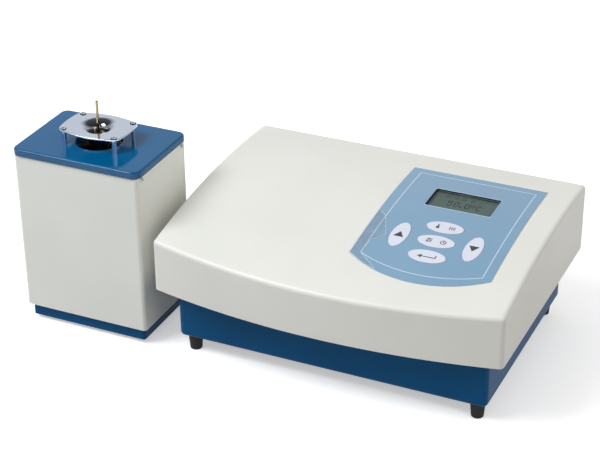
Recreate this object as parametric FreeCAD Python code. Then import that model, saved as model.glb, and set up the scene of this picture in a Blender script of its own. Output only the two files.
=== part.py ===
import FreeCAD, Part
import math
import os
from FreeCAD import Placement, Rotation, Vector

# Dropping point tester: a control unit with a sloping keypad cover, and a small
# tube furnace that stands to its left and takes the sample cartridge from above.
# Millimetres. +X to the right seen from the front, +Y to the back, +Z up.
# The origin is on the floor, under the middle of the whole outline.

# Distances between the two units
unit_gap = 34.9            # furnace case to control tray, along X
furnace_setback = 43.2     # furnace centre behind the front of the control tray

# Control unit: painted steel tray on rubber feet
tray_width = 340.0
tray_depth = 240.0
tray_height = 60.0
tray_sheet = 1.5
tray_corner = 6.0
tray_bottom_edge = 5.0
tray_mouth_corner = 4.0
tray_flange = 12.0
tray_hole_inset = 40.0     # screws of the chassis plate, from front and back
tray_vent_rows = 6
tray_vent_length = 40.0
tray_vent_width = 4.2
tray_vent_pitch = 10.0
foot_height = 18.5
foot_top_radius = 8.0
foot_bottom_radius = 6.4
foot_edge = 1.2
foot_inset = 13.0
foot_recess_radius = 4.0
foot_recess_depth = 9.0

# Control unit: chassis plate between tray and cover
plate_thickness = 2.0
plate_clearance = 0.5
plate_window_x = (60.0, 300.0)
plate_window_y = (50.0, 190.0)
plate_window_corner = 10.0

# Control unit: moulded cover
side_overhang = 18.5
corner_overhang = 13.2     # at the two front corners
front_bow = 22.1           # how far the front face bulges beyond its corners
rear_overhang = 9.8
skirt_drop = 0.5           # cover rim below the top of the tray
crest_rise = 77.5          # highest line of the cover above the top of the tray
crest_setback = 175.0      # behind the front of the tray
crest_radius = 853.0
cover_wall = 3.0
front_corner = 5.0
back_corner = 4.0
least_corner = 0.5
top_edge = 5.0
cover_boss_radius = 4.5
cover_boss_inset = 8.0     # from the tray's sides outwards
cover_boss_front = 20.0    # first row behind the tray's front
cover_boss_back = 14.0     # last row before the tray's back
cover_boss_hole = 16.0

# Printed overlay on the cover
overlay_centre_x = 254.5
overlay_width = 148.0
overlay_back = 209.7       # behind the front of the tray
overlay_front_corner = 31.0
overlay_front_bow = 24.5
overlay_thickness = 0.5
overlay_glue = 0.05        # adhesive between overlay and cover

# Display
lcd_centre_x = 255.5
lcd_centre_y = 153.3
lcd_view_width = 70.7
lcd_view_height = 37.2
lcd_ledge = 1.5            # cover edge left round the view, over the window pane
lcd_ledge_depth = 1.2
pane_thickness = 1.5
pane_clearance = 0.25
bezel_margin = 4.5
bezel_height = 4.6
bezel_clearance = 0.15
glass_thickness = 2.2
glass_drop = 0.3
lcd_board_margin = 2.5     # board beyond the middles of its holes
lcd_hole_span_x = 88.0
lcd_hole_span_y = 65.0

# Keys
key_centre_x = 256.0
key_centre_y = 73.6
key_pitch = 26.0
key_length = 39.0
key_width = 19.5
side_key_length = 42.0
side_key_width = 18.0
side_key_offset = 39.0
key_clearance = 0.25
key_proud = 0.6
key_crown_edge = 0.35
key_flange = 1.6
key_flange_gap = 0.1
key_flange_depth = 1.8     # under the cover's inside face
key_stem_radius = 3.0
key_stem_length = 0.9
key_travel = 0.5
key_end_gap = 0.1          # left between stem and plunger when the key is down
plunger_radius = 1.7
plunger_height = 1.5
switch_side = 6.2
switch_height = 3.5
key_board_width = 118.0
key_board_height = 76.0
key_board_hole_inset = 5.0
board_thickness = 1.6
board_corner = 2.0
board_boss_radius = 3.2

# Screws: radius of shank, radius and height of pan head
m3_shank = 1.45
m3_head = 2.8
m3_head_height = 1.9
m25_shank = 1.2
m25_head = 2.3
m25_head_height = 1.5
screw_clearance = 0.06
screw_bite = 4.0           # thread beyond the sheets that it holds
short_bite = 3.0
cover_screw_depth = 12.0   # in the cover's bosses
board_screw_bite = 5.0
boss_screw_gap = 0.6       # left between a board screw and the cover's top
pillar_screw_gap = 1.0

# Main board and what stands on the tray floor
main_board_x = (150.0, 290.0)
main_board_y = (40.0, 150.0)
pillar_height = 8.0
pillar_radius = 3.0
board_hole_inset = 6.0
capacitor_radius = 9.0
capacitor_height = 26.0
capacitors = 2
capacitor_x = 20.0         # first one, from the board's left side
capacitor_y = 26.0
capacitor_gap = 4.0
capacitor_edge = 1.5
chip_height = 3.2
chip_sizes = ((36.0, 14.0), (20.0, 7.0))
chip_places = ((62.0, 20.0), (62.0, 50.0))
terminal_height = 11.0
terminal_depth = 10.0
terminal_x = (20.0, 60.0)
terminal_inset = 2.0
transformer_x = 62.0
transformer_y = 96.0
core_width = 66.0
core_height = 52.0
core_thickness = 24.0
core_limb = 11.0
coil_overhang = 10.0
coil_clearance = 0.3
coil_corner = 4.0
strap_sheet = 1.5
strap_clearance = 0.1
strap_foot = 14.0
sink_x = (100.0, 140.0)
sink_length = 50.0
sink_gap = 9.5             # in front of the mains inlet's body
sink_height = 40.0
sink_base = 4.0
sink_fin = 1.6
sink_fins = 8
triac_width = 10.4
triac_height = 15.6
triac_thickness = 4.6
lead_pitch = 2.54
lead_width = 0.8
lead_thickness = 0.6

# Rear panel and its fittings, in the back wall of the tray
rear_panel_x = (56.0, 276.0)
rear_panel_bottom = 4.0    # above the tray's underside
rear_panel_height = 52.0
rear_panel_sheet = 1.5
rear_window_margin = 6.0
fitting_clearance = 0.2

inlet_x = 92.0
inlet_z = 30.0             # centre of the inlet flange above the tray's underside
inlet_flange_width = 50.0
inlet_flange_height = 37.0
inlet_flange_depth = 2.6
inlet_flange_corner = 4.0
inlet_rim = 1.2            # flange beyond the body, above and below
inlet_body_width = 28.4
inlet_body_depth = 24.0
inlet_recess_width = 24.6
inlet_recess_height = 16.6
inlet_recess_depth = 17.0
inlet_recess_rise = 7.6    # recess centre above the flange centre
inlet_chamfer = 4.0
blade_width = 2.0
blade_height = 4.0
blade_pitch = 14.0
blade_step = 4.0           # earth blade above the other two
blade_front_gap = 2.5
inlet_hole_span = 40.0
drawer_width = 22.0
drawer_height = 8.6
drawer_depth = 21.0
drawer_drop = 9.6          # drawer centre below the flange centre
drawer_clearance = 0.3
drawer_lip = 1.2
drawer_lip_inset = 3.0
drawer_lip_height = 2.0
trough_wall = 4.0          # in front of the fuse
fuse_radius = 2.6
fuse_length = 20.0
fuse_side_gap = 0.4

switch_x = 148.0
rocker_width = 9.6
rocker_height = 16.4
rocker_tilt = 10.0
rocker_well_depth = 13.0
rocker_pin_reach = 0.7
rocker_pin_gap = 0.2
rocker_valley = 0.2        # middle of the face above the switch frame
rocker_foot_ratio = 0.75
rocker_foot_drop = 2.5     # below the pivot
rocker_clearance = 0.3
rocker_pivot_radius = 1.5
rocker_pivot_clearance = 0.05
rocker_pivot_drop = 5.5    # pivot inside the face of the switch frame
switch_frame_width = 15.0
switch_frame_height = 25.0
switch_frame_depth = 2.0
switch_frame_corner = 1.5
switch_body_depth = 15.0
switch_wall = 1.4

round_socket_x = 198.0
round_socket_radius = 8.0
round_socket_bore = 6.2
round_socket_reach = 7.5
round_socket_inside = 12.0
nut_across = 21.0
nut_height = 3.0
socket_washer = 1.0
socket_washer_rim = 2.4
socket_grooves = 4
groove_start = 0.6         # first one beyond the nut
groove_pitch = 0.8
groove_width = 0.4
groove_depth = 0.35
contact_radius = 0.9
contact_ring = 3.4
contact_depth = 5.0
contacts = 5
insert_drop = 1.5
insert_tail = 3.0          # behind the shell
insert_clearance = 0.02

serial_x = 242.0
serial_flange_width = 31.0
serial_flange_height = 12.6
serial_flange_depth = 1.0
serial_shell_width = 16.9
serial_shell_height = 8.4
serial_shell_reach = 6.0
serial_shell_corner = 2.4
serial_flange_corner = 1.0
serial_body_depth = 10.0
serial_nut_span = 25.0
serial_nut_across = 5.0
serial_nut_height = 5.0
serial_stud_end = 2.0
serial_row_offset = 1.42
serial_pitch = 2.76
serial_row_counts = (5, 4)
serial_contact_radius = 0.6
serial_contact_depth = 4.0

# Ribbon cable between key board and main board
ribbon_width = 20.0
ribbon_thickness = 0.9
ribbon_radius = 8.0
header_height = 6.0
header_margin = 1.5        # beyond the ribbon, each side
header_depth = 6.0
ribbon_upper_y = 96.0
ribbon_lower_y = 126.0
ribbon_turn_z = 100.0
ribbon_end_gap = 0.2

# Furnace: sheet steel case on a base tray
case_width = 146.7
case_depth = 104.0
case_height = 178.7
case_sheet = 1.2
case_corner = 4.5
case_flange = 9.0
case_mouth_corner = 3.0
base_inset = 4.4
base_height = 14.3
base_sheet = 1.5
base_corner = 3.0
base_flange = 7.0
base_mouth_corner = 2.0
furnace_foot_height = 5.0
furnace_foot_radius = 6.0
furnace_foot_edge = 1.0
furnace_foot_inset = 12.0
case_slots = 6
case_slot_width = 40.0
case_slot_height = 3.0
case_slot_pitch = 8.0
case_slot_bottom = 112.0   # above the bottom of the case
base_slots = 7
base_slot_length = 44.0
base_slot_width = 4.2
base_slot_pitch = 7.4

# Furnace lid
lid_overhang = 1.4
lid_thickness = 7.8
lid_corner = 8.5
lid_edge = 2.2
lid_under_edge = 0.6
lid_hole_radius = 25.0
lip_wall = 3.0
lip_height = 9.0
lip_clearance = 0.2
lip_corner = 1.5
lid_screw_drop = 3.6
lid_screw_inset = 9.5
lid_screw_bite = 1.0       # behind the lip

# Horn dish over the lid, on four pillars
dish_pillar_span_x = 60.0
dish_pillar_span_y = 40.0
dish_pillar_radius = 2.7
dish_pillar_height = 14.7
dish_stud_radius = 1.5
dish_stud_length = 6.0
dish_thread_depth = 7.0
dish_sheet = 1.6
dish_edge = 0.64
dish_corner_x = 35.5
dish_corner_y = 21.5
dish_side_bow = 2.3
dish_front_bow = 7.2
dish_corner_radius = 3.0
flare_radius = 24.0        # where the flat rim starts to dip
flare_slope = 20.0         # degrees, where the wide curve meets the tight one
flare_middle_radius = 14.5
throat_radius = 9.0
neck_gap = 0.5             # between neck and heater block

# Heater block and its surroundings
block_radius = 26.0
block_top_drop = 8.0       # below the top of the case
block_length = 104.0
block_ledge = 6.0
block_screw_depth = 9.0
block_hole_depth = 10.0
drip_hole_radius = 4.0
beam_height = 22.0         # light beam above the bottom of the block
beam_radius = 3.0
band_thickness = 2.5
band_clearance = 0.15
band_height = 50.0
band_bottom = 42.0         # above the bottom of the block
band_split = 5.0
band_ear = 8.0
band_ear_sheet = 2.0
band_ear_inset = 10.0      # from the band's ends
sleeve_gap = 0.3
sleeve_thickness = 12.0
sleeve_overrun = 4.0       # beyond the band's ends
sleeve_slot_gap = 3.0      # beside the band's split
housing_radius = 6.5
housing_length = 17.0
housing_wall = 1.5
housing_flange = 9.0
housing_flange_depth = 2.0
lens_radius = 2.8
lens_length = 5.0
lens_gap = 1.0             # between block and lens
lens_seat_end = 3.0        # seat beyond the lens
sensor_radius = 2.0
sensor_length = 30.0
sensor_height = 12.0
sensor_depth = 13.0
sensor_end_gap = 0.5
sensor_head_radius = 3.5
sensor_head_length = 8.0
spacer_radius = 4.0
spacer_height = 8.0
spacer_ring = 19.0
bridge_sheet = 2.0
bridge_width = 112.0
bridge_depth = 62.0
bridge_foot = 8.0
bridge_hole_radius = 13.0

# Fan on the floor of the furnace base
fan_side = 60.0
fan_height = 15.0
fan_corner = 4.0
fan_bore_radius = 28.5
fan_hub_radius = 11.0
fan_hub_height = 10.5
fan_motor_radius = 11.0
fan_motor_height = 2.4
fan_strut = 4.0
fan_axle_radius = 1.5
fan_axle_clearance = 0.05
fan_blades = 7
fan_blade_reach = 27.5
fan_blade_thickness = 1.4
fan_blade_pitch = 38.0
fan_hole_span = 50.0
fan_hole_radius = 2.2
fan_gap = 0.6              # between motor and rotor
fan_hub_edge = 1.0
fan_blade_inset = 2.5      # blades lower than the hub
fan_blade_root = 1.0       # inside the hub

# Furnace cable socket, low in the back of the case
case_socket_x = 40.0
case_socket_z = 42.0

# Sample cartridge, lifted out through the dish
cap_radius = 8.7
cap_drop = 10.0            # cap top below the dish rim
cap_height = 11.0
cap_edge = 1.0
spigot_length = 6.0
rod_radius = 1.35
rod_top = 44.9             # above the lid
rod_socket = 5.0
rod_end_round = 0.6
tube_radius = 8.6
tube_wall = 1.2
tube_floor = 1.0
stem_tube_radius = 2.6
stem_tube_length = 66.0
cup_radius = 5.6
cup_wall = 0.9
cup_length = 12.0
cup_orifice = 1.4
cup_collar = 4.0
collector_radius = 6.9
collector_wall = 0.9
collector_height = 9.0

# Drawing aids
cut_over = 1.0             # how far a cutting solid runs past the face it cuts
slot_roundness = 0.49      # corner of a slot as a share of its width
tolerance = 0.001
shortest_edge = 0.1

# Levels and places worked out from the sizes above
tray_bottom = foot_height
tray_top = tray_bottom + tray_height
tray_floor = tray_bottom + tray_sheet
plate_top = tray_top + plate_thickness
cover_bottom = tray_top - skirt_drop
cover_left = -side_overhang
cover_right = tray_width + side_overhang
cover_back = tray_depth + rear_overhang
cover_front = -(corner_overhang + front_bow)
sink_back = tray_depth + rear_panel_sheet - inlet_body_depth - sink_gap
sink_front = sink_back - sink_length
crest_level = tray_top + crest_rise

furnace_left = -(unit_gap + case_width + max(lid_overhang, m25_head_height))
control_x = -(cover_right + furnace_left) / 2
control_y = -(cover_back + cover_front) / 2
furnace_x = control_x - unit_gap - case_width / 2
furnace_y = control_y + furnace_setback

base_bottom = furnace_foot_height
case_bottom = base_bottom + base_height
case_top = case_bottom + case_height
lid_top = case_top + lid_thickness
dish_bottom = lid_top + dish_pillar_height
dish_top = dish_bottom + dish_sheet
block_top = case_top - block_top_drop
block_bottom = block_top - block_length
ledge_level = block_bottom + block_ledge
cap_top = dish_top - cap_drop
cap_bottom = cap_top - cap_height
beam_level = block_bottom + beam_height


def box(x0, x1, y0, y1, z0, z1):
    return Part.makeBox(x1 - x0, y1 - y0, z1 - z0, Vector(x0, y0, z0))


def post(radius, z0, z1, x=0.0, y=0.0):
    return Part.makeCylinder(radius, z1 - z0, Vector(x, y, z0))


def bar(radius, start, direction, length):
    return Part.makeCylinder(radius, length, Vector(*start), Vector(*direction))


def rounded_outline(x0, x1, y0, y1, corner, z):
    """Rectangle with four round corners, as a face at height z."""
    k = corner * (1 - math.sqrt(0.5))
    sides = [
        Part.LineSegment(Vector(x0 + corner, y0, z), Vector(x1 - corner, y0, z)),
        Part.Arc(Vector(x1 - corner, y0, z), Vector(x1 - k, y0 + k, z), Vector(x1, y0 + corner, z)),
        Part.LineSegment(Vector(x1, y0 + corner, z), Vector(x1, y1 - corner, z)),
        Part.Arc(Vector(x1, y1 - corner, z), Vector(x1 - k, y1 - k, z), Vector(x1 - corner, y1, z)),
        Part.LineSegment(Vector(x1 - corner, y1, z), Vector(x0 + corner, y1, z)),
        Part.Arc(Vector(x0 + corner, y1, z), Vector(x0 + k, y1 - k, z), Vector(x0, y1 - corner, z)),
        Part.LineSegment(Vector(x0, y1 - corner, z), Vector(x0, y0 + corner, z)),
        Part.Arc(Vector(x0, y0 + corner, z), Vector(x0 + k, y0 + k, z), Vector(x0 + corner, y0, z)),
    ]
    return Part.Face(Part.Wire([side.toShape() for side in sides]))


def rounded_box(x0, x1, y0, y1, z0, z1, corner):
    return rounded_outline(x0, x1, y0, y1, corner, z0).extrude(Vector(0, 0, z1 - z0))


def prism(points, z0, z1):
    corners = [Vector(x, y, z0) for x, y in points]
    return Part.Face(Part.makePolygon(corners + corners[:1])).extrude(Vector(0, 0, z1 - z0))


def oval(half_x, half_y, z0, z1, x=0.0, y=0.0):
    """Elliptical plug with its axis along Z."""
    long_side = max(half_x, half_y)
    short_side = min(half_x, half_y)
    edge = Part.Ellipse(Vector(0, 0, 0), long_side, short_side).toShape()
    plug = Part.Face(Part.Wire([edge])).extrude(Vector(0, 0, z1 - z0))
    if half_y > half_x:
        plug.rotate(Vector(0, 0, 0), Vector(0, 0, 1), 90)
    plug.translate(Vector(x, y, z0))
    return plug


def ring_profile(points):
    """Solid of revolution about the Z axis from (radius, height) points."""
    corners = [Vector(r, 0, z) for r, z in points]
    face = Part.Face(Part.makePolygon(corners + corners[:1]))
    return face.revolve(Vector(0, 0, 0), Vector(0, 0, 1), 360)


def fuse(shapes):
    return shapes[0].multiFuse(shapes[1:]).removeSplitter()


def edges_at_height(shape, z):
    """Edges that lie wholly at height z."""
    found = []
    for edge in shape.Edges:
        limits = edge.BoundBox
        if abs(limits.ZMin - z) < tolerance and abs(limits.ZMax - z) < tolerance:
            found.append(edge)
    return found


def upright_edges(shape, keep=None):
    found = []
    for edge in shape.Edges:
        limits = edge.BoundBox
        upright = limits.XLength < tolerance and limits.YLength < tolerance
        if upright and limits.ZLength > shortest_edge:
            if keep is None or keep(limits.XMin, limits.YMin):
                found.append(edge)
    return found


def moved(shape, x=0.0, y=0.0, z=0.0):
    copy = shape.copy()
    copy.translate(Vector(x, y, z))
    return copy


def turned(shape, axis, degrees, centre=(0.0, 0.0, 0.0)):
    copy = shape.copy()
    copy.rotate(Vector(*centre), Vector(*axis), degrees)
    return copy


def screw(shank, head, head_height, length):
    """Pan head screw with a cross recess; the head sits on z = 0 and points up."""
    rim = head_height * 0.45
    shoulder = (head * 0.86, head_height * 0.85)
    crown = head * 0.5
    dome = ring_profile([(0, 0), (head, 0), (head, rim), shoulder, (crown, head_height), (0, head_height)])
    slot = head * 0.16
    reach = head * 0.58
    depth = head_height * 0.45
    recess = fuse([box(-reach, reach, -slot, slot, depth, head_height),
                   box(-slot, slot, -reach, reach, depth, head_height)])
    return fuse([dome.cut(recess), post(shank, -length, 0)])


def upside_down(shape):
    return turned(shape, (1, 0, 0), 180)


def m3_screw(length):
    return screw(m3_shank, m3_head, m3_head_height, length)


def m25_screw(length):
    return screw(m25_shank, m25_head, m25_head_height, length)


# Control unit, drawn with x and y from the front left corner of the tray

def top_level(y):
    """Height of the cover's outer top at distance y behind the tray's front."""
    return crest_level - crest_radius + math.sqrt(crest_radius ** 2 - (y - crest_setback) ** 2)


def top_slope(y):
    return math.degrees(math.asin((crest_setback - y) / crest_radius))


def under_crest(offset):
    """Everything below the cover's curved top, raised by offset."""
    radius = crest_radius + offset
    start = Vector(cover_left - cut_over, crest_setback, crest_level - crest_radius)
    length = cover_right - cover_left + 2 * cut_over
    return Part.makeCylinder(radius, length, start, Vector(1, 0, 0))


def cover_plan(inset, z):
    """Plan outline of the cover, drawn in from its outside by inset."""
    half = (cover_right - cover_left) / 2
    middle = (cover_right + cover_left) / 2
    bow_radius = (half ** 2 + front_bow ** 2) / (2 * front_bow)
    centre_y = cover_front + bow_radius
    radius = bow_radius - inset
    side = half - inset
    corner_y = centre_y - math.sqrt(radius ** 2 - side ** 2)
    left = Vector(middle - side, corner_y, z)
    right = Vector(middle + side, corner_y, z)
    apex = Vector(middle, centre_y - radius, z)
    back_left = Vector(middle - side, cover_back - inset, z)
    back_right = Vector(middle + side, cover_back - inset, z)
    edges = [
        Part.Arc(left, apex, right).toShape(),
        Part.LineSegment(right, back_right).toShape(),
        Part.LineSegment(back_right, back_left).toShape(),
        Part.LineSegment(back_left, left).toShape(),
    ]
    return Part.Face(Part.Wire(edges))


def cover_block(inset, z0, z1):
    block = cover_plan(inset, z0).extrude(Vector(0, 0, z1 - z0))
    front = upright_edges(block, lambda x, y: y < tray_depth / 2)
    block = block.makeFillet(max(front_corner - inset, least_corner), front)
    back = upright_edges(block, lambda x, y: y > tray_depth / 2 and abs(x - tray_width / 2) > tray_width / 2)
    return block.makeFillet(max(back_corner - inset, least_corner), back)


def on_cover(shape, x, y):
    """Lays a shape drawn round the origin on the cover's top at x, y."""
    placed = turned(shape, (1, 0, 0), top_slope(y))
    placed.translate(Vector(x, y, top_level(y)))
    return placed


def key_places():
    """Name, place and half sizes of each key, about the middle of the keypad."""
    long_half = key_length / 2
    short_half = key_width / 2
    return [
        ("key_heat", 0.0, key_pitch, long_half, short_half),
        ("key_preset", 0.0, 0.0, long_half, short_half),
        ("key_enter", 0.0, -key_pitch, long_half, short_half),
        ("key_up", -side_key_offset, 0.0, side_key_width / 2, side_key_length / 2),
        ("key_down", side_key_offset, 0.0, side_key_width / 2, side_key_length / 2),
    ]


def key_openings():
    holes = []
    for name, x, y, half_x, half_y in key_places():
        holes.append(oval(half_x + key_clearance, half_y + key_clearance,
                          -cover_wall * 3, cover_wall * 3, x, y))
    return on_cover(Part.makeCompound(holes), key_centre_x, key_centre_y)


def display_opening(grow, z0, z1):
    half_x = lcd_view_width / 2 + grow
    half_y = lcd_view_height / 2 + grow
    return on_cover(box(-half_x, half_x, -half_y, half_y, z0, z1), lcd_centre_x, lcd_centre_y)


def display_boss_places():
    return [(x, y) for x in (-lcd_hole_span_x / 2, lcd_hole_span_x / 2)
            for y in (-lcd_hole_span_y / 2, lcd_hole_span_y / 2)]


def key_board_hole_places():
    half_x = key_board_width / 2 - key_board_hole_inset
    half_y = key_board_height / 2 - key_board_hole_inset
    return [(x, y) for x in (-half_x, half_x) for y in (-half_y, half_y)]


def key_board_top():
    """Depth of the key board's upper face under the cover's top, at the keypad's middle."""
    flange_bottom = cover_wall + key_flange_depth
    plunger_top = flange_bottom + key_stem_length + key_travel + key_end_gap
    return plunger_top + plunger_height + switch_height


def bezel_top():
    """Depth of the bezel's flat top, just under the curved inside of the cover."""
    half = lcd_view_height / 2 + lcd_ledge + bezel_margin
    sag = half ** 2 / (2 * (crest_radius - cover_wall))
    return cover_wall + sag + bezel_clearance


def lcd_board_top():
    return bezel_top() + bezel_height


def board_bosses():
    """Posts under the cover's top that carry the two front boards."""
    display = []
    for x, y in display_boss_places():
        display.append(post(board_boss_radius, -lcd_board_top(), -cover_wall / 2, x, y))
    keys = []
    for x, y in key_board_hole_places():
        keys.append(post(board_boss_radius, -key_board_top(), -cover_wall / 2, x, y))
    return [on_cover(Part.makeCompound(display), lcd_centre_x, lcd_centre_y),
            on_cover(Part.makeCompound(keys), key_centre_x, key_centre_y)]


def board_boss_holes():
    radius = m25_shank + screw_clearance
    display = []
    for x, y in display_boss_places():
        display.append(post(radius, -lcd_board_top() - cut_over, -cover_wall, x, y))
    keys = []
    for x, y in key_board_hole_places():
        keys.append(post(radius, -key_board_top() - cut_over, -cover_wall, x, y))
    return [on_cover(Part.makeCompound(display), lcd_centre_x, lcd_centre_y),
            on_cover(Part.makeCompound(keys), key_centre_x, key_centre_y)]


def cover_boss_places():
    rows = (cover_boss_front, tray_depth / 2, tray_depth - cover_boss_back)
    return [(x, y) for x in (-cover_boss_inset, tray_width + cover_boss_inset) for y in rows]


def cover_shell():
    high = crest_level + cut_over
    outer = cover_block(0.0, cover_bottom, high).common(under_crest(0.0))
    rim = []
    for face in outer.Faces:
        if face.Surface.TypeId == "Part::GeomCylinder" and abs(face.Surface.Radius - crest_radius) < tolerance:
            rim = face.OuterWire.Edges
    outer = outer.makeFillet(top_edge, rim)
    inner = cover_block(cover_wall, cover_bottom - cut_over, high).common(under_crest(-cover_wall))
    shell = outer.cut(inner)
    posts = []
    for x, y in cover_boss_places():
        posts.append(post(cover_boss_radius, plate_top, top_level(y) - cover_wall / 2, x, y))
    for group in board_bosses():
        posts.extend(group.Solids)
    shell = fuse([shell] + posts)
    cuts = [key_openings(),
            display_opening(0.0, -cover_wall * 2, cover_wall * 2),
            display_opening(lcd_ledge, -cover_wall * 2, -lcd_ledge_depth)]
    for x, y in cover_boss_places():
        cuts.append(post(m3_shank + screw_clearance, plate_top - cut_over, plate_top + cover_boss_hole, x, y))
    return shell.cut(cuts + board_boss_holes())


def chassis_plate():
    plate = cover_block(cover_wall + plate_clearance, tray_top, plate_top)
    x0, x1 = plate_window_x
    y0, y1 = plate_window_y
    low = tray_top - cut_over
    high = plate_top + cut_over
    cuts = [rounded_box(x0, x1, y0, y1, low, high, plate_window_corner)]
    for x, y in cover_boss_places() + flange_hole_places():
        cuts.append(post(m3_shank + screw_clearance, low, high, x, y))
    return plate.cut(cuts)


def flange_hole_places():
    inset = tray_sheet + tray_flange / 2
    return [(x, y) for x in (inset, tray_width - inset)
            for y in (tray_hole_inset, tray_depth - tray_hole_inset)]


def cover_screws():
    screws = []
    for x, y in cover_boss_places():
        screws.append(moved(upside_down(m3_screw(plate_thickness + cover_screw_depth)), x, y, tray_top))
    return screws


def chassis_screws():
    length = plate_thickness + tray_sheet + screw_bite
    return [moved(m3_screw(length), x, y, plate_top) for x, y in flange_hole_places()]


def base_tray():
    outer = rounded_box(0, tray_width, 0, tray_depth, tray_bottom, tray_top, tray_corner)
    outer = outer.makeFillet(tray_bottom_edge, edges_at_height(outer, tray_bottom))
    t = tray_sheet
    inner = rounded_box(t, tray_width - t, t, tray_depth - t, tray_floor, tray_top - t, tray_corner - t)
    inner = inner.makeFillet(tray_bottom_edge - t, edges_at_height(inner, tray_floor))
    f = t + tray_flange
    low = tray_top - t - cut_over
    high = tray_top + cut_over
    mouth = rounded_box(f, tray_width - f, f, tray_depth - f, low, high, tray_mouth_corner)
    x0, x1 = rear_panel_x
    z0 = tray_bottom + rear_panel_bottom
    m = rear_window_margin
    wall = tray_depth - t - cut_over
    window = box(x0 + m, x1 - m, wall, tray_depth + cut_over, z0 + m, z0 + rear_panel_height - m)
    cuts = [inner, mouth, window]
    for x, y in flange_hole_places():
        cuts.append(post(m3_shank + screw_clearance, low, high, x, y))
    for x, y in foot_places():
        cuts.append(post(m3_shank + screw_clearance, tray_bottom - cut_over, tray_floor + cut_over, x, y))
    for x, z in rear_panel_hole_places():
        cuts.append(bar(m25_shank + screw_clearance, (x, wall, z), (0, 1, 0), t + 2 * cut_over))
    return outer.cut(cuts + tray_vents())


def tray_vents():
    """Slots in the tray floor under the transformer."""
    slots = []
    for row in range(tray_vent_rows):
        y = transformer_y + (row - (tray_vent_rows - 1) / 2) * tray_vent_pitch
        slots.append(slot_cut(transformer_x, y, tray_vent_length, tray_vent_width,
                              tray_bottom - cut_over, tray_floor + cut_over))
    return slots


def slot_cut(x, y, length, width, z0, z1):
    corner = width * slot_roundness
    return rounded_box(x - length / 2, x + length / 2, y - width / 2, y + width / 2, z0, z1, corner)


def foot_places():
    i = foot_inset
    return [(x, y) for x in (i, tray_width - i) for y in (i, tray_depth - i)]


def control_feet():
    """Tapered rubber feet, each with its screw sunk in a recess below."""
    feet = []
    for x, y in foot_places():
        foot = Part.makeCone(foot_bottom_radius, foot_top_radius, foot_height, Vector(0, 0, 0))
        foot = foot.makeFillet(foot_edge, edges_at_height(foot, 0))
        foot = foot.cut([post(foot_recess_radius, -cut_over, foot_recess_depth),
                         post(m3_shank + screw_clearance, 0, foot_height + cut_over)])
        feet.append(moved(foot, x, y))
    return feet


def foot_screws():
    length = foot_height - foot_recess_depth + tray_sheet + short_bite
    return [moved(upside_down(m3_screw(length)), x, y, foot_recess_depth) for x, y in foot_places()]


def overlay_panel():
    """Printed sheet stuck on the cover: straight back and sides, bowed front."""
    x0 = overlay_centre_x - overlay_width / 2
    x1 = overlay_centre_x + overlay_width / 2
    z = tray_top
    left = Vector(x0, overlay_front_corner, z)
    right = Vector(x1, overlay_front_corner, z)
    apex = Vector(overlay_centre_x, overlay_front_corner - overlay_front_bow, z)
    edges = [
        Part.Arc(left, apex, right).toShape(),
        Part.LineSegment(right, Vector(x1, overlay_back, z)).toShape(),
        Part.LineSegment(Vector(x1, overlay_back, z), Vector(x0, overlay_back, z)).toShape(),
        Part.LineSegment(Vector(x0, overlay_back, z), left).toShape(),
    ]
    block = Part.Face(Part.Wire(edges)).extrude(Vector(0, 0, crest_level + cut_over - z))
    sheet = block.common(under_crest(overlay_glue + overlay_thickness)).cut(under_crest(overlay_glue))
    return sheet.cut([key_openings(), display_opening(0.0, -cover_wall, cover_wall)])


def key(name, x, y, half_x, half_y):
    """Oval key cap that follows the cover's curve, with a flange and a stem below."""
    flange_bottom = cover_wall + key_flange_depth
    cap = on_cover(oval(half_x, half_y, -flange_bottom, cover_wall * 2, x, y), key_centre_x, key_centre_y)
    cap = cap.common(under_crest(overlay_glue + overlay_thickness + key_proud))
    crown = [edge for edge in cap.Edges if edge.CenterOfMass.z > top_level(key_centre_y + y)]
    cap = cap.makeFillet(key_crown_edge, crown)
    grow = key_clearance + key_flange
    flange = oval(half_x + grow, half_y + grow, -flange_bottom, 0, x, y)
    flange = on_cover(flange, key_centre_x, key_centre_y).common(under_crest(-cover_wall - key_flange_gap))
    stem = on_cover(post(key_stem_radius, -flange_bottom - key_stem_length, -flange_bottom, x, y),
                    key_centre_x, key_centre_y)
    return fuse([cap, flange, stem])


def key_board():
    half_x = key_board_width / 2
    half_y = key_board_height / 2
    top = -key_board_top()
    board = rounded_box(-half_x, half_x, -half_y, half_y, top - board_thickness, top, board_corner)
    holes = [post(m25_shank + screw_clearance, top - board_thickness - cut_over, top + cut_over, x, y)
             for x, y in key_board_hole_places()]
    return on_cover(board.cut(holes), key_centre_x, key_centre_y)


def key_switches():
    top = -key_board_top()
    half = switch_side / 2
    bodies = []
    for name, x, y, half_x, half_y in key_places():
        body = box(x - half, x + half, y - half, y + half, top, top + switch_height)
        plunger = post(plunger_radius, top + switch_height, top + switch_height + plunger_height, x, y)
        bodies.append(on_cover(fuse([body, plunger]), key_centre_x, key_centre_y))
    return bodies


def front_board_screws():
    screws = []
    length = board_thickness + lcd_board_top() - cover_wall - boss_screw_gap
    for x, y in display_boss_places():
        down = moved(upside_down(m25_screw(length)), x, y, -lcd_board_top() - board_thickness)
        screws.append(on_cover(down, lcd_centre_x, lcd_centre_y))
    length = board_thickness + board_screw_bite
    for x, y in key_board_hole_places():
        down = moved(upside_down(m25_screw(length)), x, y, -key_board_top() - board_thickness)
        screws.append(on_cover(down, key_centre_x, key_centre_y))
    return screws


def lcd_window():
    """Clear pane let into the cover from below."""
    grow = lcd_ledge - pane_clearance
    return display_opening(grow, -lcd_ledge_depth - pane_thickness, -lcd_ledge_depth)


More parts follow.
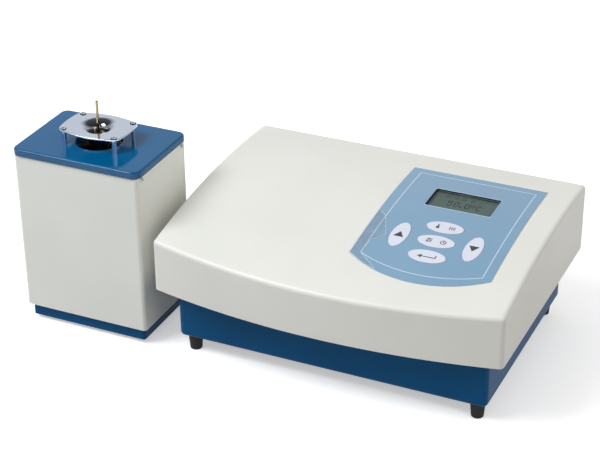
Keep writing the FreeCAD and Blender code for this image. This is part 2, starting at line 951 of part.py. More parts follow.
def lcd_bezel():
    top = -bezel_top()
    bottom = top - bezel_height
    frame = display_opening(lcd_ledge + bezel_margin, bottom, top)
    return frame.cut(display_opening(lcd_ledge / 2, bottom - cut_over, top + cut_over))


def lcd_glass():
    top = -bezel_top() - glass_drop
    return display_opening(lcd_ledge / 2 - pane_clearance, top - glass_thickness, top)


def lcd_board():
    half_x = lcd_hole_span_x / 2 + lcd_board_margin
    half_y = lcd_hole_span_y / 2 + lcd_board_margin
    top = -lcd_board_top()
    board = box(-half_x, half_x, -half_y, half_y, top - board_thickness, top)
    light = box(-lcd_view_width / 2, lcd_view_width / 2, -lcd_view_height / 2, lcd_view_height / 2,
                top, top + bezel_height - glass_drop - glass_thickness)
    holes = [post(m25_shank + screw_clearance, top - board_thickness - cut_over, top + cut_over, x, y)
             for x, y in display_boss_places()]
    return on_cover(fuse([board, light]).cut(holes), lcd_centre_x, lcd_centre_y)


# Control unit: what stands on the tray floor

def main_board_hole_places():
    i = board_hole_inset
    return [(x, y) for x in (main_board_x[0] + i, main_board_x[1] - i)
            for y in (main_board_y[0] + i, main_board_y[1] - i)]


def main_board():
    z0 = tray_floor + pillar_height
    board = box(*main_board_x, *main_board_y, z0, z0 + board_thickness)
    holes = [post(m3_shank + screw_clearance, z0 - cut_over, z0 + board_thickness + cut_over, x, y)
             for x, y in main_board_hole_places()]
    return board.cut(holes)


def board_pillars():
    pillars = []
    for x, y in main_board_hole_places():
        pillar = post(pillar_radius, tray_floor, tray_floor + pillar_height, x, y)
        pillars.append(pillar.cut(post(m3_shank + screw_clearance, tray_floor - cut_over, tray_top, x, y)))
    return pillars


def main_board_screws():
    z = tray_floor + pillar_height + board_thickness
    length = board_thickness + pillar_height - pillar_screw_gap
    return [moved(m3_screw(length), x, y, z) for x, y in main_board_hole_places()]


def main_board_parts():
    """Capacitors, chips, terminal block and ribbon header soldered on the main board."""
    z = tray_floor + pillar_height + board_thickness
    x0 = main_board_x[0]
    y0, y1 = main_board_y
    pieces = []
    for number in range(capacitors):
        x = x0 + capacitor_x + number * (2 * capacitor_radius + capacitor_gap)
        can = post(capacitor_radius, z, z + capacitor_height, x, y0 + capacitor_y)
        pieces.append(can.makeFillet(capacitor_edge, edges_at_height(can, z + capacitor_height)))
    for (x, y), (length, width) in zip(chip_places, chip_sizes):
        pieces.append(box(x0 + x, x0 + x + length, y0 + y, y0 + y + width, z, z + chip_height))
    back = y1 - terminal_inset
    pieces.append(box(x0 + terminal_x[0], x0 + terminal_x[1], back - terminal_depth, back,
                      z, z + terminal_height))
    half = ribbon_width / 2 + header_margin
    y = ribbon_lower_y
    pieces.append(box(key_centre_x - half, key_centre_x + half, y - header_depth / 2, y + header_depth / 2,
                      z, z + header_height))
    return pieces


def transformer_core():
    """E and I stack: two outer limbs and a middle limb that carries the coil."""
    half = core_width / 2
    d = core_thickness / 2
    z0 = tray_floor
    z1 = z0 + core_height
    x = transformer_x
    y = transformer_y
    core = box(x - half, x + half, y - d, y + d, z0, z1)
    window_inner = core_limb
    window_outer = half - core_limb
    cuts = []
    for side in (-1, 1):
        a = x + side * window_inner
        b = x + side * window_outer
        cuts.append(box(min(a, b), max(a, b), y - d - cut_over, y + d + cut_over,
                        z0 + core_limb, z1 - core_limb))
    return core.cut(cuts)


def transformer_coil():
    gap = coil_clearance
    x, y = transformer_x, transformer_y
    half = core_width / 2 - core_limb - gap
    d = core_thickness / 2 + coil_overhang
    z0 = tray_floor + core_limb + gap
    z1 = tray_floor + core_height - core_limb - gap
    coil = rounded_box(x - half, x + half, y - d, y + d, z0, z1, coil_corner)
    inside_x = core_limb + gap
    inside_y = core_thickness / 2 + gap
    space = box(x - inside_x, x + inside_x, y - inside_y, y + inside_y, z0 - cut_over, z1 + cut_over)
    return coil.cut(space)


def transformer_strap():
    """Steel strap over the core, with a foot each side screwed to the tray."""
    x, y = transformer_x, transformer_y
    half = core_width / 2 + strap_clearance
    t = strap_sheet
    top = tray_floor + core_height + strap_clearance
    width = core_limb / 2
    over = box(x - half - t, x + half + t, y - width, y + width, tray_floor, top + t)
    under = box(x - half, x + half, y - width - cut_over, y + width + cut_over, tray_floor - cut_over, top)
    over = over.cut(under)
    feet = [box(x - half - t - strap_foot, x - half, y - width, y + width, tray_floor, tray_floor + t),
            box(x + half, x + half + t + strap_foot, y - width, y + width, tray_floor, tray_floor + t)]
    return fuse([over] + feet)


def heat_sink():
    x0, x1 = sink_x
    z0 = tray_floor
    pieces = [box(x0, x0 + sink_base, sink_front, sink_back, z0, z0 + sink_height)]
    pitch = (sink_length - sink_fin) / (sink_fins - 1)
    for number in range(sink_fins):
        y = sink_front + number * pitch
        pieces.append(box(x0, x1, y, y + sink_fin, z0, z0 + sink_height))
    return fuse(pieces)


def power_triac():
    """Power switch for the heater, clamped flat against the heat sink."""
    x = sink_x[0]
    y = (sink_front + sink_back) / 2
    z = tray_floor + sink_height / 2
    half = triac_width / 2
    body = box(x - triac_thickness, x, y - half, y + half, z - triac_height / 2, z + triac_height / 2)
    legs = []
    for number in (-1, 0, 1):
        leg_x = x - (triac_thickness + lead_thickness) / 2
        leg_y = y + number * lead_pitch - lead_width / 2
        legs.append(box(leg_x, leg_x + lead_thickness, leg_y, leg_y + lead_width,
                        tray_floor, z - triac_height / 2))
    return fuse([body] + legs)


# Control unit: fittings in the rear panel, each drawn facing +Z round its own middle

def on_rear(shape, x, z_above_tray):
    """Puts a fitting on the rear panel's outer face, facing backwards."""
    placed = turned(shape, (1, 0, 0), -90)
    placed = turned(placed, (0, 1, 0), 180)
    placed.translate(Vector(x, tray_depth + rear_panel_sheet, tray_bottom + z_above_tray))
    return placed


def rear_panel_hole_places():
    x0, x1 = rear_panel_x
    z0 = tray_bottom + rear_panel_bottom
    inset = rear_window_margin / 2
    return [(x, z) for x in (x0 + inset, x1 - inset) for z in (z0 + inset, z0 + rear_panel_height - inset)]


def rear_panel():
    x0, x1 = rear_panel_x
    z0 = tray_bottom + rear_panel_bottom
    y0 = tray_depth
    y1 = tray_depth + rear_panel_sheet
    panel = box(x0, x1, y0, y1, z0, z0 + rear_panel_height)
    cuts = []
    for x, z in rear_panel_hole_places():
        cuts.append(bar(m25_shank + screw_clearance, (x, y0 - cut_over, z), (0, 1, 0),
                        rear_panel_sheet + 2 * cut_over))
    c = fitting_clearance
    depth = rear_panel_sheet + cut_over
    w = inlet_body_width / 2 + c
    h = inlet_flange_height / 2 - inlet_rim + c
    cuts.append(on_rear(box(-w, w, -h, h, -depth, cut_over), inlet_x, inlet_z))
    w = switch_frame_width / 2 - switch_wall + c
    h = switch_frame_height / 2 - switch_wall + c
    cuts.append(on_rear(box(-w, w, -h, h, -depth, cut_over), switch_x, inlet_z))
    cuts.append(on_rear(post(round_socket_radius + c, -depth, cut_over), round_socket_x, inlet_z))
    w = serial_shell_width / 2 + c
    h = serial_shell_height / 2 + c
    cuts.append(on_rear(box(-w, w, -h, h, -depth, cut_over), serial_x, inlet_z))
    for x in (-serial_nut_span / 2, serial_nut_span / 2):
        cuts.append(on_rear(post(m25_shank + screw_clearance, -depth, cut_over, x, 0), serial_x, inlet_z))
    for x in (-inlet_hole_span / 2, inlet_hole_span / 2):
        cuts.append(on_rear(post(m25_shank + screw_clearance, -depth, cut_over, x, 0), inlet_x, inlet_z))
    return panel.cut(cuts)


def rear_screws():
    """Screws of the rear panel and of the mains inlet."""
    screws = []
    for x, z in rear_panel_hole_places():
        item = turned(m25_screw(tray_sheet + rear_panel_sheet + screw_bite), (1, 0, 0), -90)
        screws.append(moved(item, x, tray_depth + rear_panel_sheet, z))
    for x in (-inlet_hole_span / 2, inlet_hole_span / 2):
        item = moved(m25_screw(inlet_flange_depth + rear_panel_sheet + screw_bite), x, 0, inlet_flange_depth)
        screws.append(on_rear(item, inlet_x, inlet_z))
    return screws


def inlet_recess(z0, z1):
    """Space for a mains connector: a rectangle with its two lower corners cut off."""
    w = inlet_recess_width / 2
    h = inlet_recess_height / 2
    c = inlet_chamfer
    y = inlet_recess_rise
    points = [(-w + c, y - h), (w - c, y - h), (w, y - h + c), (w, y + h), (-w, y + h), (-w, y - h + c)]
    return prism(points, z0, z1)


def drawer_space(grow, z0, z1):
    w = drawer_width / 2 + grow
    h = drawer_height / 2 + grow
    return box(-w, w, -drawer_drop - h, -drawer_drop + h, z0, z1)


def mains_inlet():
    w = inlet_flange_width / 2
    h = inlet_flange_height / 2
    f = inlet_flange_depth
    flange = rounded_box(-w, w, -h, h, 0, f, inlet_flange_corner)
    body = box(-inlet_body_width / 2, inlet_body_width / 2, -h + inlet_rim, h - inlet_rim,
               -inlet_body_depth, f / 2)
    solid = fuse([flange, body])
    holes = [post(m25_shank + screw_clearance, -cut_over, f + cut_over, x, 0)
             for x in (-inlet_hole_span / 2, inlet_hole_span / 2)]
    cuts = [inlet_recess(f - inlet_recess_depth, f + cut_over),
            drawer_space(drawer_clearance, f - drawer_depth - drawer_clearance, f + cut_over)]
    return solid.cut(cuts + holes)


def inlet_blades():
    """Three contact blades that stand in the recess."""
    f = inlet_flange_depth
    blades = []
    for x, y in ((-blade_pitch / 2, -blade_step / 2), (0.0, blade_step / 2),
                 (blade_pitch / 2, -blade_step / 2)):
        w = blade_width / 2
        h = blade_height / 2
        z = inlet_recess_rise + y
        blade = box(x - w, x + w, z - h, z + h, f - inlet_recess_depth, f - blade_front_gap)
        blades.append(on_rear(blade, inlet_x, inlet_z))
    return blades


def fuse_drawer():
    """Drawer that carries the fuse, with a grip lip at its face."""
    f = inlet_flange_depth
    z0 = f - drawer_depth
    body = drawer_space(0.0, z0, f)
    w = drawer_width / 2 - drawer_lip_inset
    h = drawer_lip_height / 2
    lip = box(-w, w, -drawer_drop - h, -drawer_drop + h, f, f + drawer_lip)
    r = fuse_radius + fuse_side_gap
    half = fuse_length / 2 + fuse_side_gap
    front = f - trough_wall
    trough = box(-half, half, -drawer_drop - r, -drawer_drop + drawer_height, front - 2 * r, front)
    return fuse([body, lip]).cut(trough)


def drawer_fuse():
    """Glass fuse across the drawer, on the floor of its trough."""
    r = fuse_radius
    centre = -drawer_drop - fuse_side_gap
    depth = inlet_flange_depth - trough_wall - fuse_radius - fuse_side_gap
    return bar(r, (-fuse_length / 2, centre, depth), (1, 0, 0), fuse_length)


def switch_body():
    w = switch_frame_width / 2
    h = switch_frame_height / 2
    d = switch_frame_depth
    frame = rounded_box(-w, w, -h, h, 0, d, switch_frame_corner)
    s = switch_wall
    case = box(-w + s, w - s, -h + s, h - s, -switch_body_depth, d / 2)
    solid = fuse([frame, case])
    rw = rocker_width / 2 + rocker_clearance
    tilt = math.radians(rocker_tilt)
    corner = rocker_pivot_drop + rocker_height / 2 * math.tan(tilt)
    rh = rocker_height / 2 * math.cos(tilt) + corner * math.sin(tilt) + rocker_clearance
    well = box(-rw, rw, -rh, rh, d - rocker_well_depth, d + cut_over)
    end = rocker_width / 2 + rocker_pin_reach + rocker_pin_gap
    pivot = bar(rocker_pivot_radius + rocker_pivot_clearance, (-end, 0, d - rocker_pivot_drop),
                (1, 0, 0), 2 * end)
    return solid.cut([well, pivot])


def power_rocker():
    """Rocker whose face is a shallow V, turned on two stub pins."""
    d = switch_frame_depth
    w = rocker_width / 2
    h = rocker_height / 2
    rise = math.tan(math.radians(rocker_tilt)) * h
    pivot_z = d - rocker_pivot_drop
    foot = h * rocker_foot_ratio
    foot_z = pivot_z - rocker_foot_drop
    side = [(-h, d + rise), (0.0, d + rocker_valley), (h, d + rise), (foot, foot_z), (-foot, foot_z)]
    corners = [Vector(-w, y, z) for y, z in side]
    body = Part.Face(Part.makePolygon(corners + corners[:1])).extrude(Vector(2 * w, 0, 0))
    end = w + rocker_pin_reach
    pin = bar(rocker_pivot_radius, (-end, 0, pivot_z), (1, 0, 0), 2 * end)
    rocker = fuse([body, pin])
    return turned(rocker, (1, 0, 0), rocker_tilt, (0, 0, pivot_z))


def hexagon(across):
    """Corners of a hexagon about the origin, from its width across flats."""
    corner = across / 2 / math.cos(math.radians(30))
    return [(corner * math.cos(math.radians(60 * i)), corner * math.sin(math.radians(60 * i)))
            for i in range(6)]


def round_socket_shell():
    """Threaded shell of the round cable socket, with washer and nut outside the sheet."""
    r = round_socket_radius
    shell = post(r, -round_socket_inside, round_socket_reach)
    width = groove_width
    flare = width * 0.75
    grooves = []
    for number in range(socket_grooves):
        z = socket_washer + nut_height + groove_start + number * groove_pitch
        ring = ring_profile([(r, z), (r + cut_over, z - flare),
                             (r + cut_over, z + width + flare), (r, z + width),
                             (r - groove_depth, z + width / 2)])
        grooves.append(ring)
    washer = post(r + socket_washer_rim, 0, socket_washer)
    nut = prism(hexagon(nut_across), socket_washer, socket_washer + nut_height)
    core = post(round_socket_bore, -round_socket_inside - cut_over, round_socket_reach + cut_over)
    return fuse([shell.cut(grooves), washer, nut]).cut(core)


def round_socket_insert():
    """Insulating insert with its ring of contacts, inside the round socket."""
    top = round_socket_reach - insert_drop
    insert = post(round_socket_bore - insert_clearance, -round_socket_inside - insert_tail, top)
    holes = []
    for number in range(contacts):
        angle = math.radians(360 / contacts * number + 90)
        holes.append(post(contact_radius, top - contact_depth, top + cut_over,
                          contact_ring * math.cos(angle), contact_ring * math.sin(angle)))
    return insert.cut(holes)


def serial_port():
    """Nine way port: steel shell round a solid insulator, with two hex pillars."""
    w = serial_shell_width / 2
    h = serial_shell_height / 2
    body = rounded_box(-w, w, -h, h, -serial_body_depth, serial_shell_reach, serial_shell_corner)
    holes = []
    for row, count in zip((serial_row_offset, -serial_row_offset), serial_row_counts):
        for number in range(count):
            x = (number - (count - 1) / 2) * serial_pitch
            holes.append(post(serial_contact_radius, serial_shell_reach - serial_contact_depth,
                              serial_shell_reach + cut_over, x, row))
    back = rear_panel_sheet
    fw = serial_flange_width / 2
    fh = serial_flange_height / 2
    flange = rounded_box(-fw, fw, -fh, fh, -back - serial_flange_depth, -back, serial_flange_corner)
    pieces = [fuse([body.cut(holes), flange])]
    cuts = []
    for x in (-serial_nut_span / 2, serial_nut_span / 2):
        cuts.append(post(m25_shank + screw_clearance, -serial_body_depth, cut_over, x, 0))
        pillar = fuse([moved(prism(hexagon(serial_nut_across), 0, serial_nut_height), x, 0),
                       post(m25_shank, -back - serial_flange_depth - serial_stud_end, 0, x, 0)])
        pieces.append(pillar)
    pieces[0] = pieces[0].cut(cuts)
    return pieces


def ribbon_cable():
    """Flat cable from the key board's underside down to the header on the main board."""
    slope = math.radians(top_slope(key_centre_y))
    start_z = top_level(key_centre_y) + (ribbon_upper_y - key_centre_y) * math.tan(slope)
    start_z = start_z - (key_board_top() + board_thickness) / math.cos(slope) - ribbon_end_gap
    end_z = tray_floor + pillar_height + board_thickness + header_height
    r = ribbon_radius
    y0 = ribbon_upper_y
    y1 = ribbon_lower_y
    z = ribbon_turn_z
    k = r * (1 - math.sqrt(0.5))
    x = key_centre_x
    path = Part.Wire([
        Part.LineSegment(Vector(x, y0, start_z), Vector(x, y0, z + r)).toShape(),
        Part.Arc(Vector(x, y0, z + r), Vector(x, y0 + k, z + k), Vector(x, y0 + r, z)).toShape(),
        Part.LineSegment(Vector(x, y0 + r, z), Vector(x, y1 - r, z)).toShape(),
        Part.Arc(Vector(x, y1 - r, z), Vector(x, y1 - k, z - k), Vector(x, y1, z - r)).toShape(),
        Part.LineSegment(Vector(x, y1, z - r), Vector(x, y1, end_z)).toShape(),
    ])
    w = ribbon_width / 2
    t = ribbon_thickness / 2
    corners = [Vector(x - w, y0 - t, start_z), Vector(x + w, y0 - t, start_z),
               Vector(x + w, y0 + t, start_z), Vector(x - w, y0 + t, start_z)]
    section = Part.makePolygon(corners + corners[:1])
    return path.makePipeShell([section], True, False)


# Furnace, drawn round the middle of its case

def case_outline(inset, corner, z0, z1):
    w = case_width / 2 - inset
    d = case_depth / 2 - inset
    return rounded_box(-w, w, -d, d, z0, z1, corner)


def base_hole_places():
    w = case_width / 2 - base_inset - base_sheet - base_flange / 2
    d = case_depth / 2 - base_inset - base_sheet - base_flange / 2
    return [(x, y) for x in (-w, w) for y in (-d, d)]


def lid_screw_places():
    y = case_depth / 2 - lid_screw_inset
    return [(side, place) for side in (-1, 1) for place in (-y, y)]


def lid_screw_hole(side, y):
    start = (side * (case_width / 2 + cut_over), y, case_top - lid_screw_drop)
    length = case_sheet + lip_clearance + lip_wall + 3 * cut_over
    return bar(m25_shank + screw_clearance, start, (-side, 0, 0), length)


def furnace_case():
    """Welded sheet steel sleeve with a turned-in flange at its foot."""
    t = case_sheet
    outer = case_outline(0.0, case_corner, case_bottom, case_top)
    inner = case_outline(t, case_corner - t, case_bottom + t, case_top + cut_over)
    low = case_bottom - cut_over
    mouth = case_outline(t + case_flange, case_mouth_corner, low, case_bottom + t + cut_over)
    cuts = [inner, mouth]
    for side, y in lid_screw_places():
        cuts.append(lid_screw_hole(side, y))
    for x, y in base_hole_places():
        cuts.append(post(m3_shank + screw_clearance, low, case_bottom + t + cut_over, x, y))
    back = case_depth / 2
    for number in range(case_slots):
        z = case_bottom + case_slot_bottom + number * case_slot_pitch
        half = case_slot_width / 2
        cuts.append(box(-half, half, back - t - cut_over, back + cut_over, z, z + case_slot_height))
    c = fitting_clearance
    socket = (case_socket_x, back - t - cut_over, case_bottom + case_socket_z)
    cuts.append(bar(round_socket_radius + c, socket, (0, 1, 0), t + 2 * cut_over))
    return outer.cut(cuts)


def furnace_lid():
    """Thick painted plate with a lip that fits inside the case and takes the side screws."""
    w = case_width / 2 + lid_overhang
    d = case_depth / 2 + lid_overhang
    plate = rounded_box(-w, w, -d, d, case_top, lid_top, lid_corner)
    plate = plate.makeFillet(lid_edge, edges_at_height(plate, lid_top))
    plate = plate.makeFillet(lid_under_edge, edges_at_height(plate, case_top))
    inset = case_sheet + lip_clearance
    lip = case_outline(inset, case_corner - case_sheet, case_top - lip_height, case_top)
    lip = lip.cut(case_outline(inset + lip_wall, lip_corner, case_top - lip_height - cut_over, case_top))
    solid = fuse([plate, lip])
    cuts = [post(lid_hole_radius, case_top - cut_over, lid_top + cut_over)]
    for x, y in dish_pillar_places():
        cuts.append(post(dish_stud_radius + screw_clearance, case_top - cut_over, lid_top + cut_over, x, y))
    for side, y in lid_screw_places():
        cuts.append(lid_screw_hole(side, y))
    return solid.cut(cuts)


def lid_screws():
    screws = []
    for side, y in lid_screw_places():
        item = turned(m25_screw(case_sheet + lip_clearance + lip_wall + lid_screw_bite), (0, 1, 0), 90 * side)
        screws.append(moved(item, side * case_width / 2, y, case_top - lid_screw_drop))
    return screws


def furnace_base():
    """Shallow steel tray under the case, slotted for the fan's air."""
    i = base_inset
    t = base_sheet
    outer = case_outline(i, base_corner, base_bottom, case_bottom)
    inner = case_outline(i + t, base_corner - t, base_bottom + t, case_bottom - t)
    low = case_bottom - t - cut_over
    mouth = case_outline(i + t + base_flange, base_mouth_corner, low, case_bottom + cut_over)
    cuts = [inner, mouth]
    for x, y in base_hole_places():
        cuts.append(post(m3_shank + screw_clearance, low, case_bottom + cut_over, x, y))
    for number in range(base_slots):
        y = (number - (base_slots - 1) / 2) * base_slot_pitch
        cuts.append(slot_cut(0, y, base_slot_length, base_slot_width,
                             base_bottom - cut_over, base_bottom + t + cut_over))
    return outer.cut(cuts)


def furnace_foot_places():
    w = case_width / 2 - base_inset - furnace_foot_inset
    d = case_depth / 2 - base_inset - furnace_foot_inset
    return [(x, y) for x in (-w, w) for y in (-d, d)]


def furnace_feet():
    feet = []
    for x, y in furnace_foot_places():
        foot = post(furnace_foot_radius, 0, furnace_foot_height, x, y)
        feet.append(foot.makeFillet(furnace_foot_edge, edges_at_height(foot, 0)))
    return feet


def base_screws():
    return [moved(m3_screw(case_sheet + base_sheet + short_bite), x, y, case_bottom + case_sheet)
            for x, y in base_hole_places()]


def dish_pillar_places():
    w = dish_pillar_span_x / 2
    d = dish_pillar_span_y / 2
    return [(x, y) for x in (-w, w) for y in (-d, d)]


def dish_pillars():
    """Bright turned pillars with a stud through the lid and a tapped top."""
    pillars = []
    for x, y in dish_pillar_places():
        body = post(dish_pillar_radius, lid_top, dish_bottom, x, y)
        stud = post(dish_stud_radius, lid_top - dish_stud_length, lid_top, x, y)
        tapped = post(m25_shank + screw_clearance, dish_bottom - dish_thread_depth,
                      dish_bottom + cut_over, x, y)
        pillars.append(fuse([body, stud]).cut(tapped))
    return pillars


def dish_screws():
    return [moved(m25_screw(dish_sheet + board_screw_bite), x, y, dish_top) for x, y in dish_pillar_places()]


def dish_plate():
    """Flat rim of the dish: four bowed sides that meet in small round corners."""
    x = dish_corner_x
    y = dish_corner_y
    z = dish_bottom
    side = x + dish_side_bow
    front = y + dish_front_bow
    edges = [
        Part.Arc(Vector(-x, -y, z), Vector(0, -front, z), Vector(x, -y, z)).toShape(),
        Part.Arc(Vector(x, -y, z), Vector(side, 0, z), Vector(x, y, z)).toShape(),
        Part.Arc(Vector(x, y, z), Vector(0, front, z), Vector(-x, y, z)).toShape(),
        Part.Arc(Vector(-x, y, z), Vector(-side, 0, z), Vector(-x, -y, z)).toShape(),
    ]
    plate = Part.Face(Part.Wire(edges)).extrude(Vector(0, 0, dish_sheet))
    plate = plate.makeFillet(dish_corner_radius, upright_edges(plate))
    rim = edges_at_height(plate, dish_top)
    return plate.makeFillet(dish_edge, rim)


def flare_edges(offset, z_end):
    """Half section of the horn's inside, moved outwards by offset: wide curve, tight curve, neck."""
    slope = math.radians(flare_slope)
    wide = (flare_radius - flare_middle_radius) / math.sin(slope)
    tight = (flare_middle_radius - throat_radius) / (1 - math.sin(slope))
    wide_centre = (flare_radius, dish_top - wide)
    middle = (flare_middle_radius, dish_top - wide * (1 - math.cos(slope)))
    tight_centre = (throat_radius + tight, middle[1] - tight * math.cos(slope))
    half_turn = slope / 2
    three_quarter = (slope + math.pi / 2) / 2

    def on_wide(angle):
        r = wide - offset
        return Vector(wide_centre[0] - r * math.sin(angle), 0, wide_centre[1] + r * math.cos(angle))

    def on_tight(angle):
        r = tight - offset
        return Vector(tight_centre[0] - r * math.sin(angle), 0, tight_centre[1] + r * math.cos(angle))

    neck_top = on_tight(math.pi / 2)
    neck_end = Vector(neck_top.x, 0, z_end)
    return [Part.Arc(on_wide(0.0), on_wide(half_turn), on_wide(slope)).toShape(),
            Part.Arc(on_tight(slope), on_tight(three_quarter), on_tight(math.pi / 2)).toShape(),
            Part.LineSegment(neck_top, neck_end).toShape()]


def dish():
    """Spun horn: flat rim, flared bowl and a neck that guides the cartridge."""
    end = block_top + neck_gap
    inside_rim = Vector(flare_radius, 0, dish_top)
    inside_end = Vector(throat_radius, 0, end)
    outside_end = Vector(throat_radius + dish_sheet, 0, end)
    space = Part.Face(Part.Wire(flare_edges(0.0, end) + [
        Part.LineSegment(inside_end, Vector(0, 0, end)).toShape(),
        Part.LineSegment(Vector(0, 0, end), Vector(0, 0, dish_top)).toShape(),
        Part.LineSegment(Vector(0, 0, dish_top), inside_rim).toShape()]))
    space = space.revolve(Vector(0, 0, 0), Vector(0, 0, 1), 360)
    lower_rim = Vector(flare_radius, 0, dish_bottom)
    body = Part.Face(Part.Wire(flare_edges(dish_sheet, end) + [
        Part.LineSegment(outside_end, Vector(0, 0, end)).toShape(),
        Part.LineSegment(Vector(0, 0, end), Vector(0, 0, dish_bottom)).toShape(),
        Part.LineSegment(Vector(0, 0, dish_bottom), lower_rim).toShape()]))
    body = body.revolve(Vector(0, 0, 0), Vector(0, 0, 1), 360)
    cuts = [space, post(throat_radius, end - cut_over, dish_bottom)]
    for x, y in dish_pillar_places():
        cuts.append(post(m25_shank + screw_clearance, dish_bottom - cut_over, dish_top + cut_over, x, y))
    return fuse([dish_plate(), body]).cut(cuts)


def write(node, shapes, x, y):
    """Places a node's solids and writes its file."""
    solids = shapes if isinstance(shapes, list) else [shapes]
    placed = [moved(solid, x, y) for solid in solids]
    shape = placed[0] if len(placed) == 1 else Part.makeCompound(placed)
    count = len(shape.Solids)
    print(node, count, "solids", round(shape.Volume, 1), "valid", shape.isValid())
    shape.exportStep("parts/" + node + ".step")


def heater_block():
    """Aluminium block: a bore for the cartridge, a ledge it stands on, and cross bores."""
    block = post(block_radius, block_bottom, block_top)
    r = throat_radius
    past = block_radius + cut_over
    low = block_bottom - cut_over
    cuts = [post(r, ledge_level, block_top + cut_over), post(drip_hole_radius, low, ledge_level + cut_over),
            bar(beam_radius, (-past, 0, beam_level), (1, 0, 0), 2 * past),
            bar(sensor_radius + screw_clearance, (0, past, block_bottom + sensor_height), (0, -1, 0),
                sensor_depth + cut_over)]
    for x, y in spacer_places():
        cuts.append(post(m3_shank + screw_clearance, low, block_bottom + block_hole_depth, x, y))
    return block.cut(cuts)


def band_heater():
    """Split heating band with two ears that a clamp screw draws together."""
    r = block_radius + band_clearance
    z0 = block_bottom + band_bottom
    z1 = z0 + band_height
    outside = r + band_thickness
    half = band_split / 2
    band = post(outside, z0, z1)
    ear_low = z0 + band_ear_inset
    ear_high = z1 - band_ear_inset
    ears = [box(-half - band_ear_sheet, -half, -outside - band_ear, -r, ear_low, ear_high),
            box(half, half + band_ear_sheet, -outside - band_ear, -r, ear_low, ear_high)]
    low = z0 - cut_over
    high = z1 + cut_over
    split = box(-half, half, -outside - band_ear - cut_over, 0, low, high)
    return fuse([band] + ears).cut([post(r, low, high), split])


def insulation_sleeve():
    """Mineral wool tube round the band, with a slot for the band's ears."""
    r = block_radius + band_clearance + band_thickness + sleeve_gap
    z0 = block_bottom + band_bottom - sleeve_overrun
    z1 = z0 + band_height + 2 * sleeve_overrun
    low = z0 - cut_over
    high = z1 + cut_over
    half = band_split / 2 + sleeve_slot_gap
    slot = box(-half, half, -r - sleeve_thickness - cut_over, 0, low, high)
    return post(r + sleeve_thickness, z0, z1).cut([post(r, low, high), slot])


def side_housing(side):
    """Tube with a flange against the block, in line with the light beam; side is -1 or 1."""
    x = side * block_radius
    toward = (side, 0, 0)
    tube = bar(housing_radius, (x, 0, beam_level), toward, housing_length)
    flange = bar(housing_flange, (x, 0, beam_level), toward, housing_flange_depth)
    reach = housing_flange + cut_over
    block_face = post(block_radius + screw_clearance, beam_level - reach, beam_level + reach)
    seat = lens_length + lens_seat_end
    lens_seat = bar(lens_radius + screw_clearance, (x - side * cut_over, 0, beam_level),
                    toward, seat + cut_over)
    back = bar(housing_radius - housing_wall, (x + side * seat, 0, beam_level), toward, housing_length)
    return fuse([tube, flange]).cut([block_face, lens_seat, back])


def beam_lenses():
    lenses = []
    for side in (-1, 1):
        x = side * (block_radius + lens_gap)
        lenses.append(bar(lens_radius, (x, 0, beam_level), (side, 0, 0), lens_length))
    return lenses


def temperature_sensor():
    z = block_bottom + sensor_height
    y = block_radius - sensor_depth + sensor_end_gap
    probe = bar(sensor_radius, (0, y, z), (0, 1, 0), sensor_length)
    head_y = y + sensor_length - sensor_head_length
    head = bar(sensor_head_radius, (0, head_y, z), (0, 1, 0), sensor_head_length)
    return fuse([probe, head])


def spacer_places():
    return [(spacer_ring * math.cos(math.radians(a)), spacer_ring * math.sin(math.radians(a)))
            for a in (30, 150, 270)]


def ceramic_spacers():
    spacers = []
    for x, y in spacer_places():
        spacer = post(spacer_radius, block_bottom - spacer_height, block_bottom, x, y)
        hole = post(m3_shank + screw_clearance, block_bottom - spacer_height - cut_over,
                    block_bottom + cut_over, x, y)
        spacers.append(spacer.cut(hole))
    return spacers


def block_screws():
    length = bridge_sheet + spacer_height + block_screw_depth
    z = block_bottom - spacer_height - bridge_sheet
    return [moved(upside_down(m3_screw(length)), x, y, z) for x, y in spacer_places()]


def support_bridge():
    """Folded sheet bridge that stands over the fan and carries the heater block."""
    t = bridge_sheet
    top = block_bottom - spacer_height
    floor = base_bottom + base_sheet
    w = bridge_width / 2
    d = bridge_depth / 2
    deck = box(-w, w, -d, d, top - t, top)
    legs = [box(-w, -w + t, -d, d, floor, top), box(w - t, w, -d, d, floor, top)]
    feet = [box(-w, -w + t + bridge_foot, -d, d, floor, floor + t),
            box(w - t - bridge_foot, w, -d, d, floor, floor + t)]
    low = top - t - cut_over
    high = top + cut_over
    cuts = [post(bridge_hole_radius, low, high)]
    for x, y in spacer_places():
        cuts.append(post(m3_shank + screw_clearance, low, high, x, y))
    return fuse([deck] + legs + feet).cut(cuts)


def fan_frame():
    """Square fan housing with a round duct, four struts and the motor's hub plate."""
    z0 = base_bottom + base_sheet
    z1 = z0 + fan_height
    s = fan_side / 2
    low = z0 - cut_over
    high = z1 + cut_over
    frame = rounded_box(-s, s, -s, s, z0, z1, fan_corner).cut(post(fan_bore_radius, low, high))
    hub = post(fan_motor_radius, z0, z0 + fan_motor_height)
    struts = []
    for turn in (45, 135, 225, 315):
        strut = box(0, fan_bore_radius + cut_over, -fan_strut / 2, fan_strut / 2, z0, z0 + fan_motor_height)
        struts.append(turned(strut, (0, 0, 1), turn))
    h = fan_hole_span / 2
    cuts = [post(fan_axle_radius + fan_axle_clearance, low, z0 + fan_motor_height + cut_over)]
    for x in (-h, h):
        for y in (-h, h):
            cuts.append(post(fan_hole_radius, low, high, x, y))
    return fuse([frame, hub] + struts).cut(cuts)


